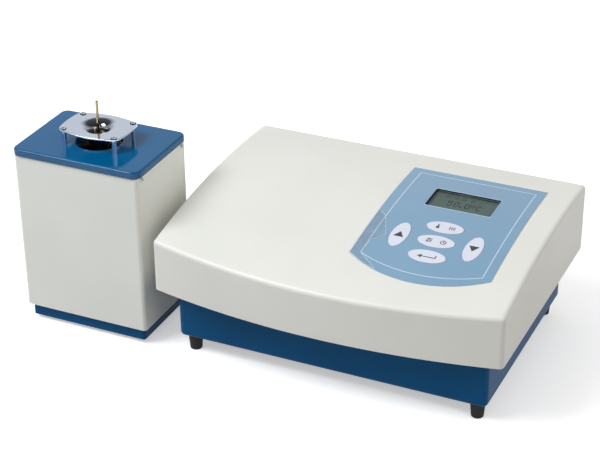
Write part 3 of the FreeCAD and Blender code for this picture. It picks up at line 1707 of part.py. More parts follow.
def fan_rotor():
    """Seven raked blades on a hub that turns on its axle."""
    z0 = base_bottom + base_sheet + fan_motor_height + fan_gap
    z1 = z0 + fan_hub_height
    hub = post(fan_hub_radius, z0, z1)
    hub = hub.makeFillet(fan_hub_edge, edges_at_height(hub, z1))
    axle = post(fan_axle_radius, base_bottom + base_sheet, z0 + fan_hub_edge)
    middle = (z0 + z1) / 2
    half = (fan_hub_height - fan_blade_inset) / 2 / math.cos(math.radians(fan_blade_pitch))
    thick = fan_blade_thickness / 2
    ring = post(fan_blade_reach, z0, z1)
    blades = []
    for number in range(fan_blades):
        blade = box(fan_hub_radius - fan_blade_root, fan_blade_reach + cut_over, -thick, thick,
                    middle - half, middle + half)
        blade = turned(blade, (1, 0, 0), fan_blade_pitch, (0, 0, middle)).common(ring)
        blades.append(turned(blade, (0, 0, 1), 360 / fan_blades * number))
    return fuse([hub, axle] + blades)


def on_case_back(shape):
    placed = turned(shape, (1, 0, 0), -90)
    placed = turned(placed, (0, 1, 0), 180)
    placed.translate(Vector(case_socket_x, case_depth / 2, case_bottom + case_socket_z))
    return placed


# Sample cartridge: cap with its rod, sleeve, sample cup and the collector for the drop

def handle_rod():
    bottom = cap_top - rod_socket
    rod = post(rod_radius, bottom, lid_top + rod_top)
    return rod.makeFillet(rod_end_round, edges_at_height(rod, lid_top + rod_top))


def cartridge_cap():
    """Turned cap with a tube below it that holds the sample cup."""
    cap = post(cap_radius, cap_bottom, cap_top)
    cap = cap.makeFillet(cap_edge, edges_at_height(cap, cap_top))
    spigot_bottom = cap_bottom - spigot_length
    spigot = post(tube_radius - tube_wall - screw_clearance, spigot_bottom, cap_bottom)
    stem = post(stem_tube_radius, spigot_bottom - stem_tube_length, cap_bottom)
    hole = post(rod_radius + screw_clearance, cap_top - rod_socket, cap_top + cut_over)
    return fuse([cap, spigot, stem]).cut(hole)


def cartridge_sleeve():
    """Steel sleeve with two windows for the light beam and an open foot."""
    sleeve = post(tube_radius, ledge_level, cap_bottom)
    floor = ledge_level + tube_floor
    sleeve = sleeve.cut(post(tube_radius - tube_wall, floor, cap_bottom + cut_over))
    past = tube_radius + cut_over
    window = bar(beam_radius, (-past, 0, beam_level), (1, 0, 0), 2 * past)
    return sleeve.cut([window, post(drip_hole_radius, ledge_level - cut_over, floor + cut_over)])


def sample_cup():
    """Small plated cup with the orifice that the drop falls from."""
    top = cap_bottom - spigot_length - stem_tube_length
    bottom = top - cup_length
    foot = cup_radius * 0.6
    shoulder = bottom + cup_length * 0.4
    inner_shoulder = bottom + cup_length * 0.45
    inside = cup_radius - cup_wall
    stem = stem_tube_radius + screw_clearance
    return ring_profile([(cup_orifice, bottom), (foot, bottom), (cup_radius, shoulder),
                         (cup_radius, top + cup_collar), (stem, top + cup_collar), (stem, top),
                         (inside, top), (inside, inner_shoulder), (cup_orifice, bottom + cup_wall)])


def drip_collector():
    """Glass cup on the floor of the sleeve that catches the drop."""
    floor = ledge_level + tube_floor
    rim = floor + collector_height
    outer = post(collector_radius, floor, rim)
    return outer.cut(post(collector_radius - collector_wall, floor + collector_wall, rim + cut_over))


def control_unit():
    """Every node of the control unit with its solids, about the tray's front left corner."""
    nodes = {
        "base_tray": base_tray(),
        "control_feet": control_feet(),
        "underside_screws": foot_screws() + cover_screws(),
        "chassis_plate": chassis_plate(),
        "inner_screws": chassis_screws() + main_board_screws() + front_board_screws(),
        "cover_shell": cover_shell(),
        "overlay_panel": overlay_panel(),
        "lcd_window": lcd_window(),
        "lcd_bezel": lcd_bezel(),
        "lcd_glass": lcd_glass(),
        "lcd_board": lcd_board(),
        "key_board": key_board(),
        "key_switches": key_switches(),
        "main_board": main_board(),
        "circuit_parts": main_board_parts() + [power_triac()],
        "board_pillars": board_pillars(),
        "transformer_core": transformer_core(),
        "transformer_coil": transformer_coil(),
        "transformer_strap": transformer_strap(),
        "heat_sink": heat_sink(),
        "ribbon_cable": ribbon_cable(),
        "rear_panel": rear_panel(),
        "rear_screws": rear_screws(),
        "mains_inlet": on_rear(mains_inlet(), inlet_x, inlet_z),
        "inlet_blades": inlet_blades(),
        "fuse_drawer": on_rear(fuse_drawer(), inlet_x, inlet_z),
        "drawer_fuse": on_rear(drawer_fuse(), inlet_x, inlet_z),
        "switch_body": on_rear(switch_body(), switch_x, inlet_z),
        "power_rocker": on_rear(power_rocker(), switch_x, inlet_z),
        "serial_port": [on_rear(piece, serial_x, inlet_z) for piece in serial_port()],
    }
    for name, x, y, half_x, half_y in key_places():
        nodes[name] = key(name, x, y, half_x, half_y)
    return nodes


def furnace():
    """Every node of the furnace with its solids, about the middle of its case."""
    return {
        "furnace_case": furnace_case(),
        "furnace_lid": furnace_lid(),
        "furnace_screws": lid_screws() + base_screws() + block_screws(),
        "furnace_base": furnace_base(),
        "furnace_feet": furnace_feet(),
        "dish": dish(),
        "dish_pillars": dish_pillars(),
        "dish_screws": dish_screws(),
        "heater_block": heater_block(),
        "band_heater": band_heater(),
        "insulation_sleeve": insulation_sleeve(),
        "support_bridge": support_bridge(),
        "ceramic_spacers": ceramic_spacers(),
        "beam_housings": [side_housing(-1), side_housing(1)],
        "beam_lenses": beam_lenses(),
        "temperature_sensor": temperature_sensor(),
        "fan_frame": fan_frame(),
        "fan_rotor": fan_rotor(),
        "handle_rod": handle_rod(),
        "cartridge_cap": cartridge_cap(),
        "cartridge_sleeve": cartridge_sleeve(),
        "sample_cup": sample_cup(),
        "drip_collector": drip_collector(),
    }


def cable_sockets(part):
    """The same round fitting on the rear panel and on the back of the furnace case."""
    output = moved(on_rear(part, round_socket_x, inlet_z), control_x, control_y)
    intake = moved(on_case_back(part), furnace_x, furnace_y)
    return [output, intake]


os.makedirs("parts", exist_ok=True)
for node, shapes in control_unit().items():
    write(node, shapes, control_x, control_y)
for node, shapes in furnace().items():
    write(node, shapes, furnace_x, furnace_y)
write("cable_sockets", cable_sockets(round_socket_shell()), 0, 0)
write("socket_inserts", cable_sockets(round_socket_insert()), 0, 0)
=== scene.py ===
import math

import bpy
from mathutils import Matrix, Vector


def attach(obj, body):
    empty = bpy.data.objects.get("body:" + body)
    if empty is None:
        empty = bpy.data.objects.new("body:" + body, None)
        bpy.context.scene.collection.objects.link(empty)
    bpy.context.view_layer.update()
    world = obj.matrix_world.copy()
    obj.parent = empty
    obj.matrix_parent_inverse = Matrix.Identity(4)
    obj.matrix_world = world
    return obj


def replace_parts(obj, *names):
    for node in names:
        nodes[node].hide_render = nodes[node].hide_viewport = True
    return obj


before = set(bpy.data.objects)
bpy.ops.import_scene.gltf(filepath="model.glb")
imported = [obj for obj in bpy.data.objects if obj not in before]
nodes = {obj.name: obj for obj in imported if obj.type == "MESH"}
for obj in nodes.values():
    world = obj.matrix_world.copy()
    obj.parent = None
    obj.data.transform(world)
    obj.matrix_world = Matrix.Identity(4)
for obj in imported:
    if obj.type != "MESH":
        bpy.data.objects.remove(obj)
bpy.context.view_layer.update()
studio = bpy.context.scene


# Control tray and furnace base
# Two shallow trays, folded and welded from sheet steel. Both have the same blue
# semi-gloss enamel, sprayed and baked, with the faint orange peel of such a coat.
def tone(red, green, blue):
    """Colour of a screen value from 0 to 255, as the shader takes it."""
    parts = []
    for value in (red, green, blue):
        value = value / 255
        parts.append(value / 12.92 if value <= 0.04045 else ((value + 0.055) / 1.055) ** 2.4)
    return (*parts, 1.0)


def cloud(tree, grain, stretch=(1, 1, 1), detail=4.0):
    """Noise in the object's own coordinates, grain in features per metre."""
    place = tree.nodes.new("ShaderNodeTexCoord")
    scale = tree.nodes.new("ShaderNodeMapping")
    scale.inputs["Scale"].default_value = stretch
    noise = tree.nodes.new("ShaderNodeTexNoise")
    noise.inputs["Scale"].default_value = grain
    noise.inputs["Detail"].default_value = detail
    tree.links.new(place.outputs["Object"], scale.inputs["Vector"])
    tree.links.new(scale.outputs["Vector"], noise.inputs["Vector"])
    return noise


def between(tree, source, low, high):
    """Ramp from one tone to another over the middle of a noise."""
    ramp = tree.nodes.new("ShaderNodeValToRGB")
    ramp.color_ramp.elements[0].position = 0.35
    ramp.color_ramp.elements[0].color = low
    ramp.color_ramp.elements[1].position = 0.65
    ramp.color_ramp.elements[1].color = high
    tree.links.new(source, ramp.inputs["Fac"])
    return ramp.outputs["Color"]


def relief(tree, shader, source, depth):
    """Raises the surface by a noise, depth in metres."""
    bump = tree.nodes.new("ShaderNodeBump")
    bump.inputs["Distance"].default_value = depth
    tree.links.new(source, bump.inputs["Height"])
    tree.links.new(bump.outputs["Normal"], shader.inputs["Normal"])


def finish(name, low, high, grain, constants, skin=None, stretch=(1, 1, 1)):
    """Finish that wanders between two tones; skin is the grain and depth of its relief."""
    material = bpy.data.materials.new(name)
    material.use_nodes = True
    tree = material.node_tree
    shader = tree.nodes["Principled BSDF"]
    for socket, value in constants.items():
        shader.inputs[socket].default_value = value
    colour = between(tree, cloud(tree, grain, stretch).outputs["Fac"], tone(*low), tone(*high))
    tree.links.new(colour, shader.inputs["Base Color"])
    if skin:
        relief(tree, shader, cloud(tree, skin[0], stretch, 2.0).outputs["Fac"], skin[1])
    return material


def dress(material, *names):
    """Gives carried pieces their finish."""
    for name in names:
        nodes[name].material_slots[0].material = material


blue_enamel = finish("blue_enamel", (0, 76, 124), (3, 84, 134), 9.0,
                     {"Roughness": 0.42, "Specular IOR Level": 0.14}, (520.0, 0.00004))
dress(blue_enamel, "base_tray", "furnace_base")


# Feet of both units
# Turned black rubber buffers, dull and slightly bloomed, each held by one screw
# in its recess. The furnace stands on four flat pads of the same rubber.
foot_rubber = finish("foot_rubber", (17, 17, 18), (32, 32, 33), 260.0, {"Roughness": 0.8}, (2600.0, 0.00006))
dress(foot_rubber, "control_feet", "furnace_feet")


# Sheet and screws inside and under both units
# Zinc plated sheet with its faint spangle carries cover, transformer and heater
# block. The screws are bright zinc plated steel with cross recesses.
zinc_sheet = finish("zinc_sheet", (142, 146, 148), (182, 185, 186), 120.0,
                    {"Metallic": 1.0, "Roughness": 0.38}, (900.0, 0.00002))
dress(zinc_sheet, "chassis_plate", "transformer_strap", "support_bridge")
zinc_screw = finish("zinc_screw", (178, 180, 182), (206, 207, 208), 900.0,
                    {"Metallic": 1.0, "Roughness": 0.22})
dress(zinc_screw, "underside_screws", "inner_screws", "furnace_screws", "rear_screws", "serial_port")


# Cover of the control unit
# One moulded shell with a cylindrical top that slopes to a bowed front. It is
# painted cream, with a fine even texture, and sits over the edge of the tray.
cover_cream = finish("cover_cream", (232, 232, 225), (238, 237, 230), 7.0,
                     {"Roughness": 0.42, "Coat Weight": 0.15, "Coat Roughness": 0.25}, (1500.0, 0.00003))
dress(cover_cream, "cover_shell")


# Printed overlay
# A satin polyester sheet stuck on the slope, printed pale blue from behind, with
# a fine lighter printed line round the field. The lighter line round the display is a painted highlight on
# its bevel.
control_corner = (-87.7, -107.25)
crest_radius = 853.0
crest_setback = 175.0
crest_level = 156.0
overlay_rise = 0.55
ink_lift = 0.03
ink_depth = 0.05
field_left = 191.2
field_right = 319.4
field_front = 33.5
field_bow = 18.3
field_back = 200.0
field_line = 0.9
window_bevel_highlight = 0.7
window_middle = (255.5, 153.3)
window_half = (35.35, 18.6)


def on_cover(x, y, rise):
    """Point over the cover's curved top, from millimetres behind the tray's front left corner."""
    lean = math.asin((y - crest_setback) / crest_radius)
    reach = crest_radius + rise
    return Vector((control_corner[0] + x,
                   control_corner[1] + crest_setback + reach * math.sin(lean),
                   crest_level - crest_radius + reach * math.cos(lean))) / 1000


def shown(mesh, body):
    """New piece of the scene that has this mesh and rides on its body."""
    piece = bpy.data.objects.new(mesh.name, mesh)
    studio.collection.objects.link(piece)
    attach(piece, body)
    return piece


def mesh_piece(name, points, faces, material, body):
    """New piece of the scene from points in metres."""
    mesh = bpy.data.meshes.new(name)
    mesh.from_pydata([tuple(point) for point in points], [], faces)
    mesh.materials.append(material)
    mesh.validate()
    return shown(mesh, body)


def solid_shapes(shapes, place, low, high):
    """Closed flat shapes between two levels; a shape is one outline or a ring of two."""
    points = []
    faces = []
    for shape in shapes:
        start = len(points)
        outer = shape[0]
        count = len(outer)
        if len(shape) == 1:
            points += [place(x, y, high) for x, y in outer] + [place(x, y, low) for x, y in outer]
            faces.append([start + i for i in range(count)])
            faces.append([start + count + i for i in reversed(range(count))])
            for i in range(count):
                j = (i + 1) % count
                faces.append([start + j, start + i, start + count + i, start + count + j])
            continue
        for level in (high, low):
            for outline in shape:
                points += [place(x, y, level) for x, y in outline]
        for i in range(count):
            j = (i + 1) % count
            a, b, c, d = [start + k * count for k in range(4)]
            faces.append([a + i, a + j, b + j, b + i])
            faces.append([c + j, c + i, d + i, d + j])
            faces.append([a + j, a + i, c + i, c + j])
            faces.append([b + i, b + j, d + j, d + i])
    return points, faces


def ring(outline, width):
    """Closed line of even width along the inside of an outline given anticlockwise."""
    inner = []
    count = len(outline)
    for i in range(count):
        before = Vector(outline[i]) - Vector(outline[i - 1])
        after = Vector(outline[(i + 1) % count]) - Vector(outline[i])
        before.normalize()
        after.normalize()
        side = Vector((-before.y, before.x)) + Vector((-after.y, after.x))
        side = side / (1 + before.dot(after))
        inner.append(tuple(Vector(outline[i]) + side * width))
    return [outline, inner]


def along(start, end, step=4.0):
    """Points from start up to, but not with, end."""
    start, end = Vector(start), Vector(end)
    count = max(1, round((end - start).length / step))
    return [tuple(start.lerp(end, i / count)) for i in range(count)]


def arc_points(left, right, bow, count):
    """Circular bow from left to right that reaches down to the height bow."""
    half = (right[0] - left[0]) / 2
    sag = left[1] - bow
    radius = (half ** 2 + sag ** 2) / (2 * sag)
    angle = math.asin(half / radius)
    middle = ((left[0] + right[0]) / 2, bow + radius)
    turns = [-angle + 2 * angle * i / count for i in range(count)]
    return [(middle[0] + radius * math.sin(turn), middle[1] - radius * math.cos(turn)) for turn in turns]


overlay_film = finish("overlay_film", (133, 168, 196), (138, 173, 200), 6.0,
                      {"Roughness": 0.36, "Coat Weight": 0.25, "Coat Roughness": 0.2}, (3200.0, 0.000012))
dress(overlay_film, "overlay_panel")
# Pale print round the field; round the window the same pale band is a painted highlight on its bevel.
print_and_bevel_highlight = finish("print_and_bevel_highlight", (205, 224, 243), (214, 231, 247), 60.0, {"Roughness": 0.36})
field = arc_points((field_left, field_front), (field_right, field_front), field_bow, 34)
field += along((field_right, field_front), (field_right, field_back))
field += along((field_right, field_back), (field_left, field_back))
field += along((field_left, field_back), (field_left, field_front))
x0, x1 = window_middle[0] - window_half[0], window_middle[0] + window_half[0]
y0, y1 = window_middle[1] - window_half[1], window_middle[1] + window_half[1]
w = window_bevel_highlight
window = [(x0 - w, y0 - w), (x1 + w, y0 - w), (x1 + w, y1 + w), (x0 - w, y1 + w)]
field_points, field_faces = solid_shapes([ring(field, field_line), ring(window, w)], on_cover,
                                         overlay_rise + ink_lift - ink_depth, overlay_rise + ink_lift)
mesh_piece("overlay_line", field_points, field_faces, print_and_bevel_highlight, "housing")


# Protective film on the overlay
# The clear sheet that keeps the new overlay from scratches. It has come loose along
# the left edge; on the real unit a corner of it is folded back. Here the loose piece
# lies flat just over the overlay, following its curve, and looks grey.
film_rise = 0.75
film_depth = 0.08
film_left = 180.8
film_step = 1.5
film_edge = ((14.6, 214.5), (34.0, 191.5), (53.7, 193.2), (69.4, 203.9), (99.2, 191.8), (108.0, 183.5))
film_rim = 0.45
film_bow_radius = 123.7
film_bow_middle = (254.5, 130.5)


def clear(name, tint, haze, milky=(200, 204, 206)):
    """See-through finish: tint is its tone, haze the share that scatters in a milky tone."""
    material = bpy.data.materials.new(name)
    material.use_nodes = True
    tree = material.node_tree
    tree.nodes.remove(tree.nodes["Principled BSDF"])
    veil = cloud(tree, 45.0)
    through = tree.nodes.new("ShaderNodeBsdfTransparent")
    lighter = [min(255, part + 6) for part in tint]
    tree.links.new(between(tree, veil.outputs["Fac"], tone(*tint), tone(*lighter)), through.inputs["Color"])
    milk = tree.nodes.new("ShaderNodeBsdfDiffuse")
    milk.inputs["Color"].default_value = tone(*milky)
    body = tree.nodes.new("ShaderNodeMixShader")
    body.inputs["Fac"].default_value = haze
    gloss = tree.nodes.new("ShaderNodeBsdfGlossy")
    gloss.inputs["Roughness"].default_value = 0.06
    edge = tree.nodes.new("ShaderNodeLayerWeight")
    edge.inputs["Blend"].default_value = 0.5
    steep = tree.nodes.new("ShaderNodeMath")
    steep.operation = "POWER"
    steep.inputs[1].default_value = 5.0
    tree.links.new(edge.outputs["Facing"], steep.inputs[0])
    surface = tree.nodes.new("ShaderNodeMixShader")
    tree.links.new(through.outputs["BSDF"], body.inputs[1])
    tree.links.new(milk.outputs["BSDF"], body.inputs[2])
    tree.links.new(steep.outputs["Value"], surface.inputs["Fac"])
    tree.links.new(body.outputs["Shader"], surface.inputs[1])
    tree.links.new(gloss.outputs["BSDF"], surface.inputs[2])
    tree.links.new(surface.outputs["Shader"], tree.nodes["Material Output"].inputs["Surface"])
    return material


def film_start(y):
    """Left side of the film, straight and then along the bowed front of the overlay."""
    bow = film_bow_middle[0] - math.sqrt(film_bow_radius ** 2 - (film_bow_middle[1] - y) ** 2)
    return max(film_left, bow) if y < film_bow_middle[1] else film_left


loose_film = clear("loose_film", (251, 251, 251), 0.06, (214, 214, 214))
film_right = []
for (y, x), (next_y, next_x) in zip(film_edge, film_edge[1:]):
    film_right += [(x + (next_x - x) * (spot - y) / (next_y - y), spot)
                   for _, spot in along((0.0, y), (0.0, next_y), film_step)]
film_right.append((film_edge[-1][1], film_edge[-1][0]))
film_points = []
for x, y in film_right:
    for level in (film_rise, film_rise - film_depth):
        film_points += [on_cover(film_start(y), y, level), on_cover(x, y, level)]
film_faces = []
for i in range(len(film_right) - 1):
    a, b = 4 * i, 4 * i + 4
    film_faces += [(a, a + 1, b + 1, b), (a + 2, b + 2, b + 3, a + 3),
                   (a, b, b + 2, a + 2), (a + 1, a + 3, b + 3, b + 1)]
last = len(film_points) - 4
film_faces += [(0, 2, 3, 1), (last, last + 1, last + 3, last + 2)]
mesh_piece("loose_film", film_points, film_faces, loose_film, "housing")
# Pale band round the film's edge: a painted highlight where the cut edge catches the light.
film_edge_highlight = finish("film_edge_highlight", (206, 220, 232), (218, 230, 240), 300.0, {"Roughness": 0.25})
film_lap = 0.02
film_outline = film_right + [(film_start(y), y) for _, y in reversed(film_right)]
rim_points, rim_faces = solid_shapes([ring(film_outline, film_rim)], on_cover,
                                     film_rise - film_depth - film_lap, film_rise + film_lap)
mesh_piece("film_edge", rim_points, rim_faces, film_edge_highlight, "housing")


# Display
# A clear pane let into the cover, and behind it a black lacquered bezel round the
# grey green crystal glass. Its characters are made up of small dark dots.
window_slope = math.asin((crest_setback - window_middle[1]) / crest_radius)
glass_level = -3.806
dot_size = (1.03, 1.43)
dot_pitch = (1.08, 1.5)
small_dot = (0.5, 0.5)
small_pitch = (0.62, 0.62)
dot_gap = 0.02
dot_depth = 0.05
digits = {
    "5": ("11111", "10000", "11110", "00001", "00001", "10001", "01110"),
    "0": ("01110", "10001", "10001", "10001", "10001", "10001", "01110"),
    ".": ("00000", "00000", "00000", "00000", "00000", "01100", "01100"),
    "o": ("01100", "10010", "10010", "01100", "00000", "00000", "00000"),
    "C": ("01110", "10001", "10000", "10000", "10000", "10001", "01110"),
}
digit_places = (("5", -14.6), ("0", -7.2), (".", -1.4), ("0", 4.6), ("o", 10.9), ("C", 16.8))
mark = ("1111111", "1000001", "1011101", "1010101", "1011101", "1000001", "1111111")
mark_places = (-20.5, -11.5, -2.5, 6.5)
mark_height = 12.6

clear_pane = clear("clear_pane", (240, 244, 243), 0.02)
dress(clear_pane, "lcd_window")
black_lacquer = finish("black_lacquer", (12, 13, 15), (20, 21, 23), 300.0,
                       {"Roughness": 0.4}, (1800.0, 0.00002))
dress(black_lacquer, "lcd_bezel")
# Black ring round the inside of the display window: partly a gasket, partly painted shade for the shadow in
# the recess.
shade_gasket_low = -0.9
shade_gasket_high = 0.3
shade_gasket_wall = 0.4
shade_gasket_gap = 0.02
x0, x1 = x0 + shade_gasket_gap, x1 - shade_gasket_gap
y0, y1 = y0 + shade_gasket_gap, y1 - shade_gasket_gap
shade_gasket = ring([(x0, y0), (x1, y0), (x1, y1), (x0, y1)], shade_gasket_wall)
shade_gasket_points, shade_gasket_faces = solid_shapes([shade_gasket], on_cover, shade_gasket_low, shade_gasket_high)
mesh_piece("window_shade_gasket", shade_gasket_points, shade_gasket_faces, black_lacquer, "housing")
crystal = finish("crystal", (87, 106, 103), (95, 114, 109), 22.0,
                 {"Roughness": 0.4, "Specular IOR Level": 0.1})
dress(crystal, "lcd_glass")
dot_ink = finish("dot_ink", (6, 10, 16), (10, 14, 20), 300.0,
                 {"Roughness": 0.5, "Specular IOR Level": 0.1})
faint_ink = finish("faint_ink", (34, 48, 54), (42, 56, 62), 300.0,
                   {"Roughness": 0.5, "Specular IOR Level": 0.1})


def dot_places(rows, middle_x, middle_y, pitch):
    """Where the dots of one character stand, about the middle of the display."""
    places = []
    for row, line in enumerate(rows):
        for column, lit in enumerate(line):
            if lit == "1":
                places.append((middle_x + (column - (len(line) - 1) / 2) * pitch[0],
                               middle_y + ((len(rows) - 1) / 2 - row) * pitch[1]))
    return places


def grown(name, points, build, sizes, material):
    """Mesh from geometry nodes that build a shape from points; sizes are the tree's inputs."""
    group = bpy.data.node_groups.new(name, "GeometryNodeTree")
    group.interface.new_socket("Geometry", in_out="INPUT", socket_type="NodeSocketGeometry")
    sockets = {label: group.interface.new_socket(label, in_out="INPUT", socket_type=kind)
               for label, (kind, _) in sizes.items()}
    group.interface.new_socket("Geometry", in_out="OUTPUT", socket_type="NodeSocketGeometry")
    entry = group.nodes.new("NodeGroupInput")
    leave = group.nodes.new("NodeGroupOutput")
    real = group.nodes.new("GeometryNodeRealizeInstances")
    coat = group.nodes.new("GeometryNodeSetMaterial")
    coat.inputs["Material"].default_value = material
    group.links.new(build(group, entry), real.inputs["Geometry"])
    group.links.new(real.outputs["Geometry"], coat.inputs["Geometry"])
    group.links.new(coat.outputs["Geometry"], leave.inputs["Geometry"])
    seed = bpy.data.meshes.new(name + "_points")
    seed.from_pydata([tuple(point) for point in points], [], [])
    carrier = bpy.data.objects.new(name + "_points", seed)
    studio.collection.objects.link(carrier)
    modifier = carrier.modifiers.new(name, "NODES")
    modifier.node_group = group
    for label, (_, value) in sizes.items():
        modifier[sockets[label].identifier] = value
    bpy.context.view_layer.update()
    mesh = bpy.data.meshes.new_from_object(carrier.evaluated_get(bpy.context.evaluated_depsgraph_get()))
    mesh.name = name
    mesh.materials.clear()
    mesh.materials.append(material)
    bpy.data.objects.remove(carrier)
    return mesh


def planted(name, places, shape, sizes, material):
    """Mesh from geometry nodes that put one shape on every place."""
    def build(group, entry):
        spread = group.nodes.new("GeometryNodeInstanceOnPoints")
        group.links.new(entry.outputs["Geometry"], spread.inputs["Points"])
        group.links.new(shape(group, entry), spread.inputs["Instance"])
        return spread.outputs["Instances"]
    return grown(name, places, build, sizes, material)


def dot_shape(group, entry):
    """Flat block of the tree's dot size."""
    dot = group.nodes.new("GeometryNodeMeshCube")
    group.links.new(entry.outputs["Dot size"], dot.inputs["Size"])
    return dot.outputs["Mesh"]


def laid_dots(name, places, size, ink):
    """Dots on the crystal glass, at places about the middle of the window."""
    level = (glass_level + dot_gap + dot_depth / 2) / 1000
    sizes = {"Dot size": ("NodeSocketVector", (size[0] / 1000, size[1] / 1000, dot_depth / 1000))}
    mesh = planted(name, [(x / 1000, y / 1000, level) for x, y in places], dot_shape, sizes, ink)
    mesh.transform(Matrix.Translation(on_cover(*window_middle, 0.0)) @ Matrix.Rotation(window_slope, 4, "X"))
    shown(mesh, "housing")


lit_dots = []
for character, middle in digit_places:
    lit_dots += dot_places(digits[character], middle, 0.0, dot_pitch)
laid_dots("display_digits", lit_dots, dot_size, dot_ink)
faint_dots = []
for middle in mark_places:
    faint_dots += dot_places(mark, middle, mark_height, small_pitch)
laid_dots("display_marks", faint_dots, small_dot, faint_ink)


# Keys
# Five oval caps of near-white plastic that stand a little proud of the overlay.
# The legends are dark grey pad print: two arrows, and plain signs on the others.
key_middle = (256.0, 73.6)
key_pitch = 26.0
key_side = 39.0
key_rise = 1.15
legend_line = 0.85
key_cap = finish("key_cap", (226, 229, 242), (231, 233, 245), 40.0,
                 {"Roughness": 0.3, "Coat Weight": 0.3, "Coat Roughness": 0.15}, (2500.0, 0.00001))
dress(key_cap, "key_heat", "key_preset", "key_enter", "key_up", "key_down")
legend_ink = finish("legend_ink", (66, 68, 84), (78, 80, 94), 500.0, {"Roughness": 0.5})


def stroke(points, width=legend_line):
    """Outline of a line of even width through the points."""
    left = []
    right = []
    spots = [Vector(point) for point in points]
    for i, spot in enumerate(spots):
        before = (spot - spots[i - 1]).normalized() if i > 0 else (spots[1] - spot).normalized()
        after = (spots[i + 1] - spot).normalized() if i < len(spots) - 1 else before
        side = Vector((-before.y, before.x)) + Vector((-after.y, after.x))
        side = side / (1 + before.dot(after)) * width / 2
        left.append(tuple(spot + side))
        right.append(tuple(spot - side))
    return [right + left[::-1]]


def circle(x, y, radius, count=24):
    """Points round a circle, anticlockwise."""
    return [(x + radius * math.cos(2 * math.pi * i / count), y + radius * math.sin(2 * math.pi * i / count))
            for i in range(count)]


def wave(x):
    """Wavy upright line that stands for rising heat."""
    heights = [-2.88 + 0.48 * i for i in range(13)]
    return stroke([(x + 0.55 * math.sin(y * 1.8), y) for y in heights])


arrow_half = 5.5
arrow_rise = 4.4
legends = {
    "heat": [[circle(-7.5, -2.0, 1.9)], stroke([(-7.5, -1.4), (-7.5, 3.4)], 1.5),
             wave(5.0), wave(7.4), wave(9.8)],
    "preset": [stroke([(-10.6, y), (-4.4, y)]) for y in (-2.3, 0.0, 2.3)]
    + [[[(x - 0.95, y - 0.95), (x + 0.95, y - 0.95), (x + 0.95, y + 0.95), (x - 0.95, y + 0.95)]]
       for x, y in ((-8.8, -2.3), (-6.0, 0.0), (-8.2, 2.3))]
    + [ring(circle(7.5, 0.0, 3.3), legend_line), stroke([(7.5, 2.1), (7.5, 0.0), (9.2, -0.9)])],
    "enter": [stroke([(9.0, 3.0), (9.0, -1.0), (-5.6, -1.0)], 1.15),
              [[(-10.0, -1.0), (-5.2, -3.5), (-5.2, 1.5)]]],
    "up": [[[(-arrow_half, -arrow_rise), (arrow_half, -arrow_rise), (0.0, arrow_rise)]]],
    "down": [[[(-arrow_half, arrow_rise), (0.0, -arrow_rise), (arrow_half, arrow_rise)]]],
}
legend_middles = {"heat": (0.0, key_pitch), "preset": (0.0, 0.0), "enter": (0.0, -key_pitch),
                  "up": (-key_side, 0.0), "down": (key_side, 0.0)}
for name, shapes in legends.items():
    across = key_middle[0] + legend_middles[name][0]
    back = key_middle[1] + legend_middles[name][1]
    shifted = [[[(x + across, y + back) for x, y in outline] for outline in shape] for shape in shapes]
    legend_points, legend_faces = solid_shapes(shifted, on_cover, key_rise + ink_lift - ink_depth,
                                               key_rise + ink_lift)
    mesh_piece("legend_" + name, legend_points, legend_faces, legend_ink, name + "_key")


# Boards and their parts
# Glass fibre boards in green solder resist, and black moulded parts on them. A
# grey ribbon cable joins the key board to the main board.
solder_resist = finish("solder_resist", (14, 74, 44), (26, 100, 58), 420.0,
                       {"Roughness": 0.35, "Coat Weight": 0.4}, (700.0, 0.00005))
dress(solder_resist, "lcd_board", "key_board", "main_board")
black_moulding = finish("black_moulding", (28, 28, 30), (42, 42, 44), 700.0,
                        {"Roughness": 0.5}, (1800.0, 0.00003))
dress(black_moulding, "key_switches", "circuit_parts", "beam_housings", "fan_frame", "fan_rotor",
      "socket_inserts")
ribbon_grey = finish("ribbon_grey", (120, 122, 128), (146, 148, 152), 800.0, {"Roughness": 0.55},
                     (800.0, 0.0002), (1.0, 0.02, 0.02))
dress(ribbon_grey, "ribbon_cable")
plated_brass = finish("plated_brass", (176, 164, 132), (204, 194, 160), 600.0,
                      {"Metallic": 1.0, "Roughness": 0.28})
dress(plated_brass, "board_pillars", "inlet_blades")


# Transformer and heat sink
# Varnished iron laminations round a coil in yellow tape. The heater's power switch
# is clamped to a sawn length of finned aluminium.
laminations = finish("laminations", (40, 42, 46), (74, 76, 80), 900.0, {"Metallic": 0.6, "Roughness": 0.5},
                     (1400.0, 0.0002), (0.02, 1.0, 0.02))
dress(laminations, "transformer_core")
yellow_tape = finish("yellow_tape", (186, 146, 44), (212, 172, 62), 90.0, {"Roughness": 0.4}, (240.0, 0.0001))
dress(yellow_tape, "transformer_coil")
sawn_aluminium = finish("sawn_aluminium", (168, 170, 174), (202, 204, 207), 500.0,
                        {"Metallic": 1.0, "Roughness": 0.4}, (1200.0, 0.00004), (1.0, 1.0, 0.05))
dress(sawn_aluminium, "heat_sink")


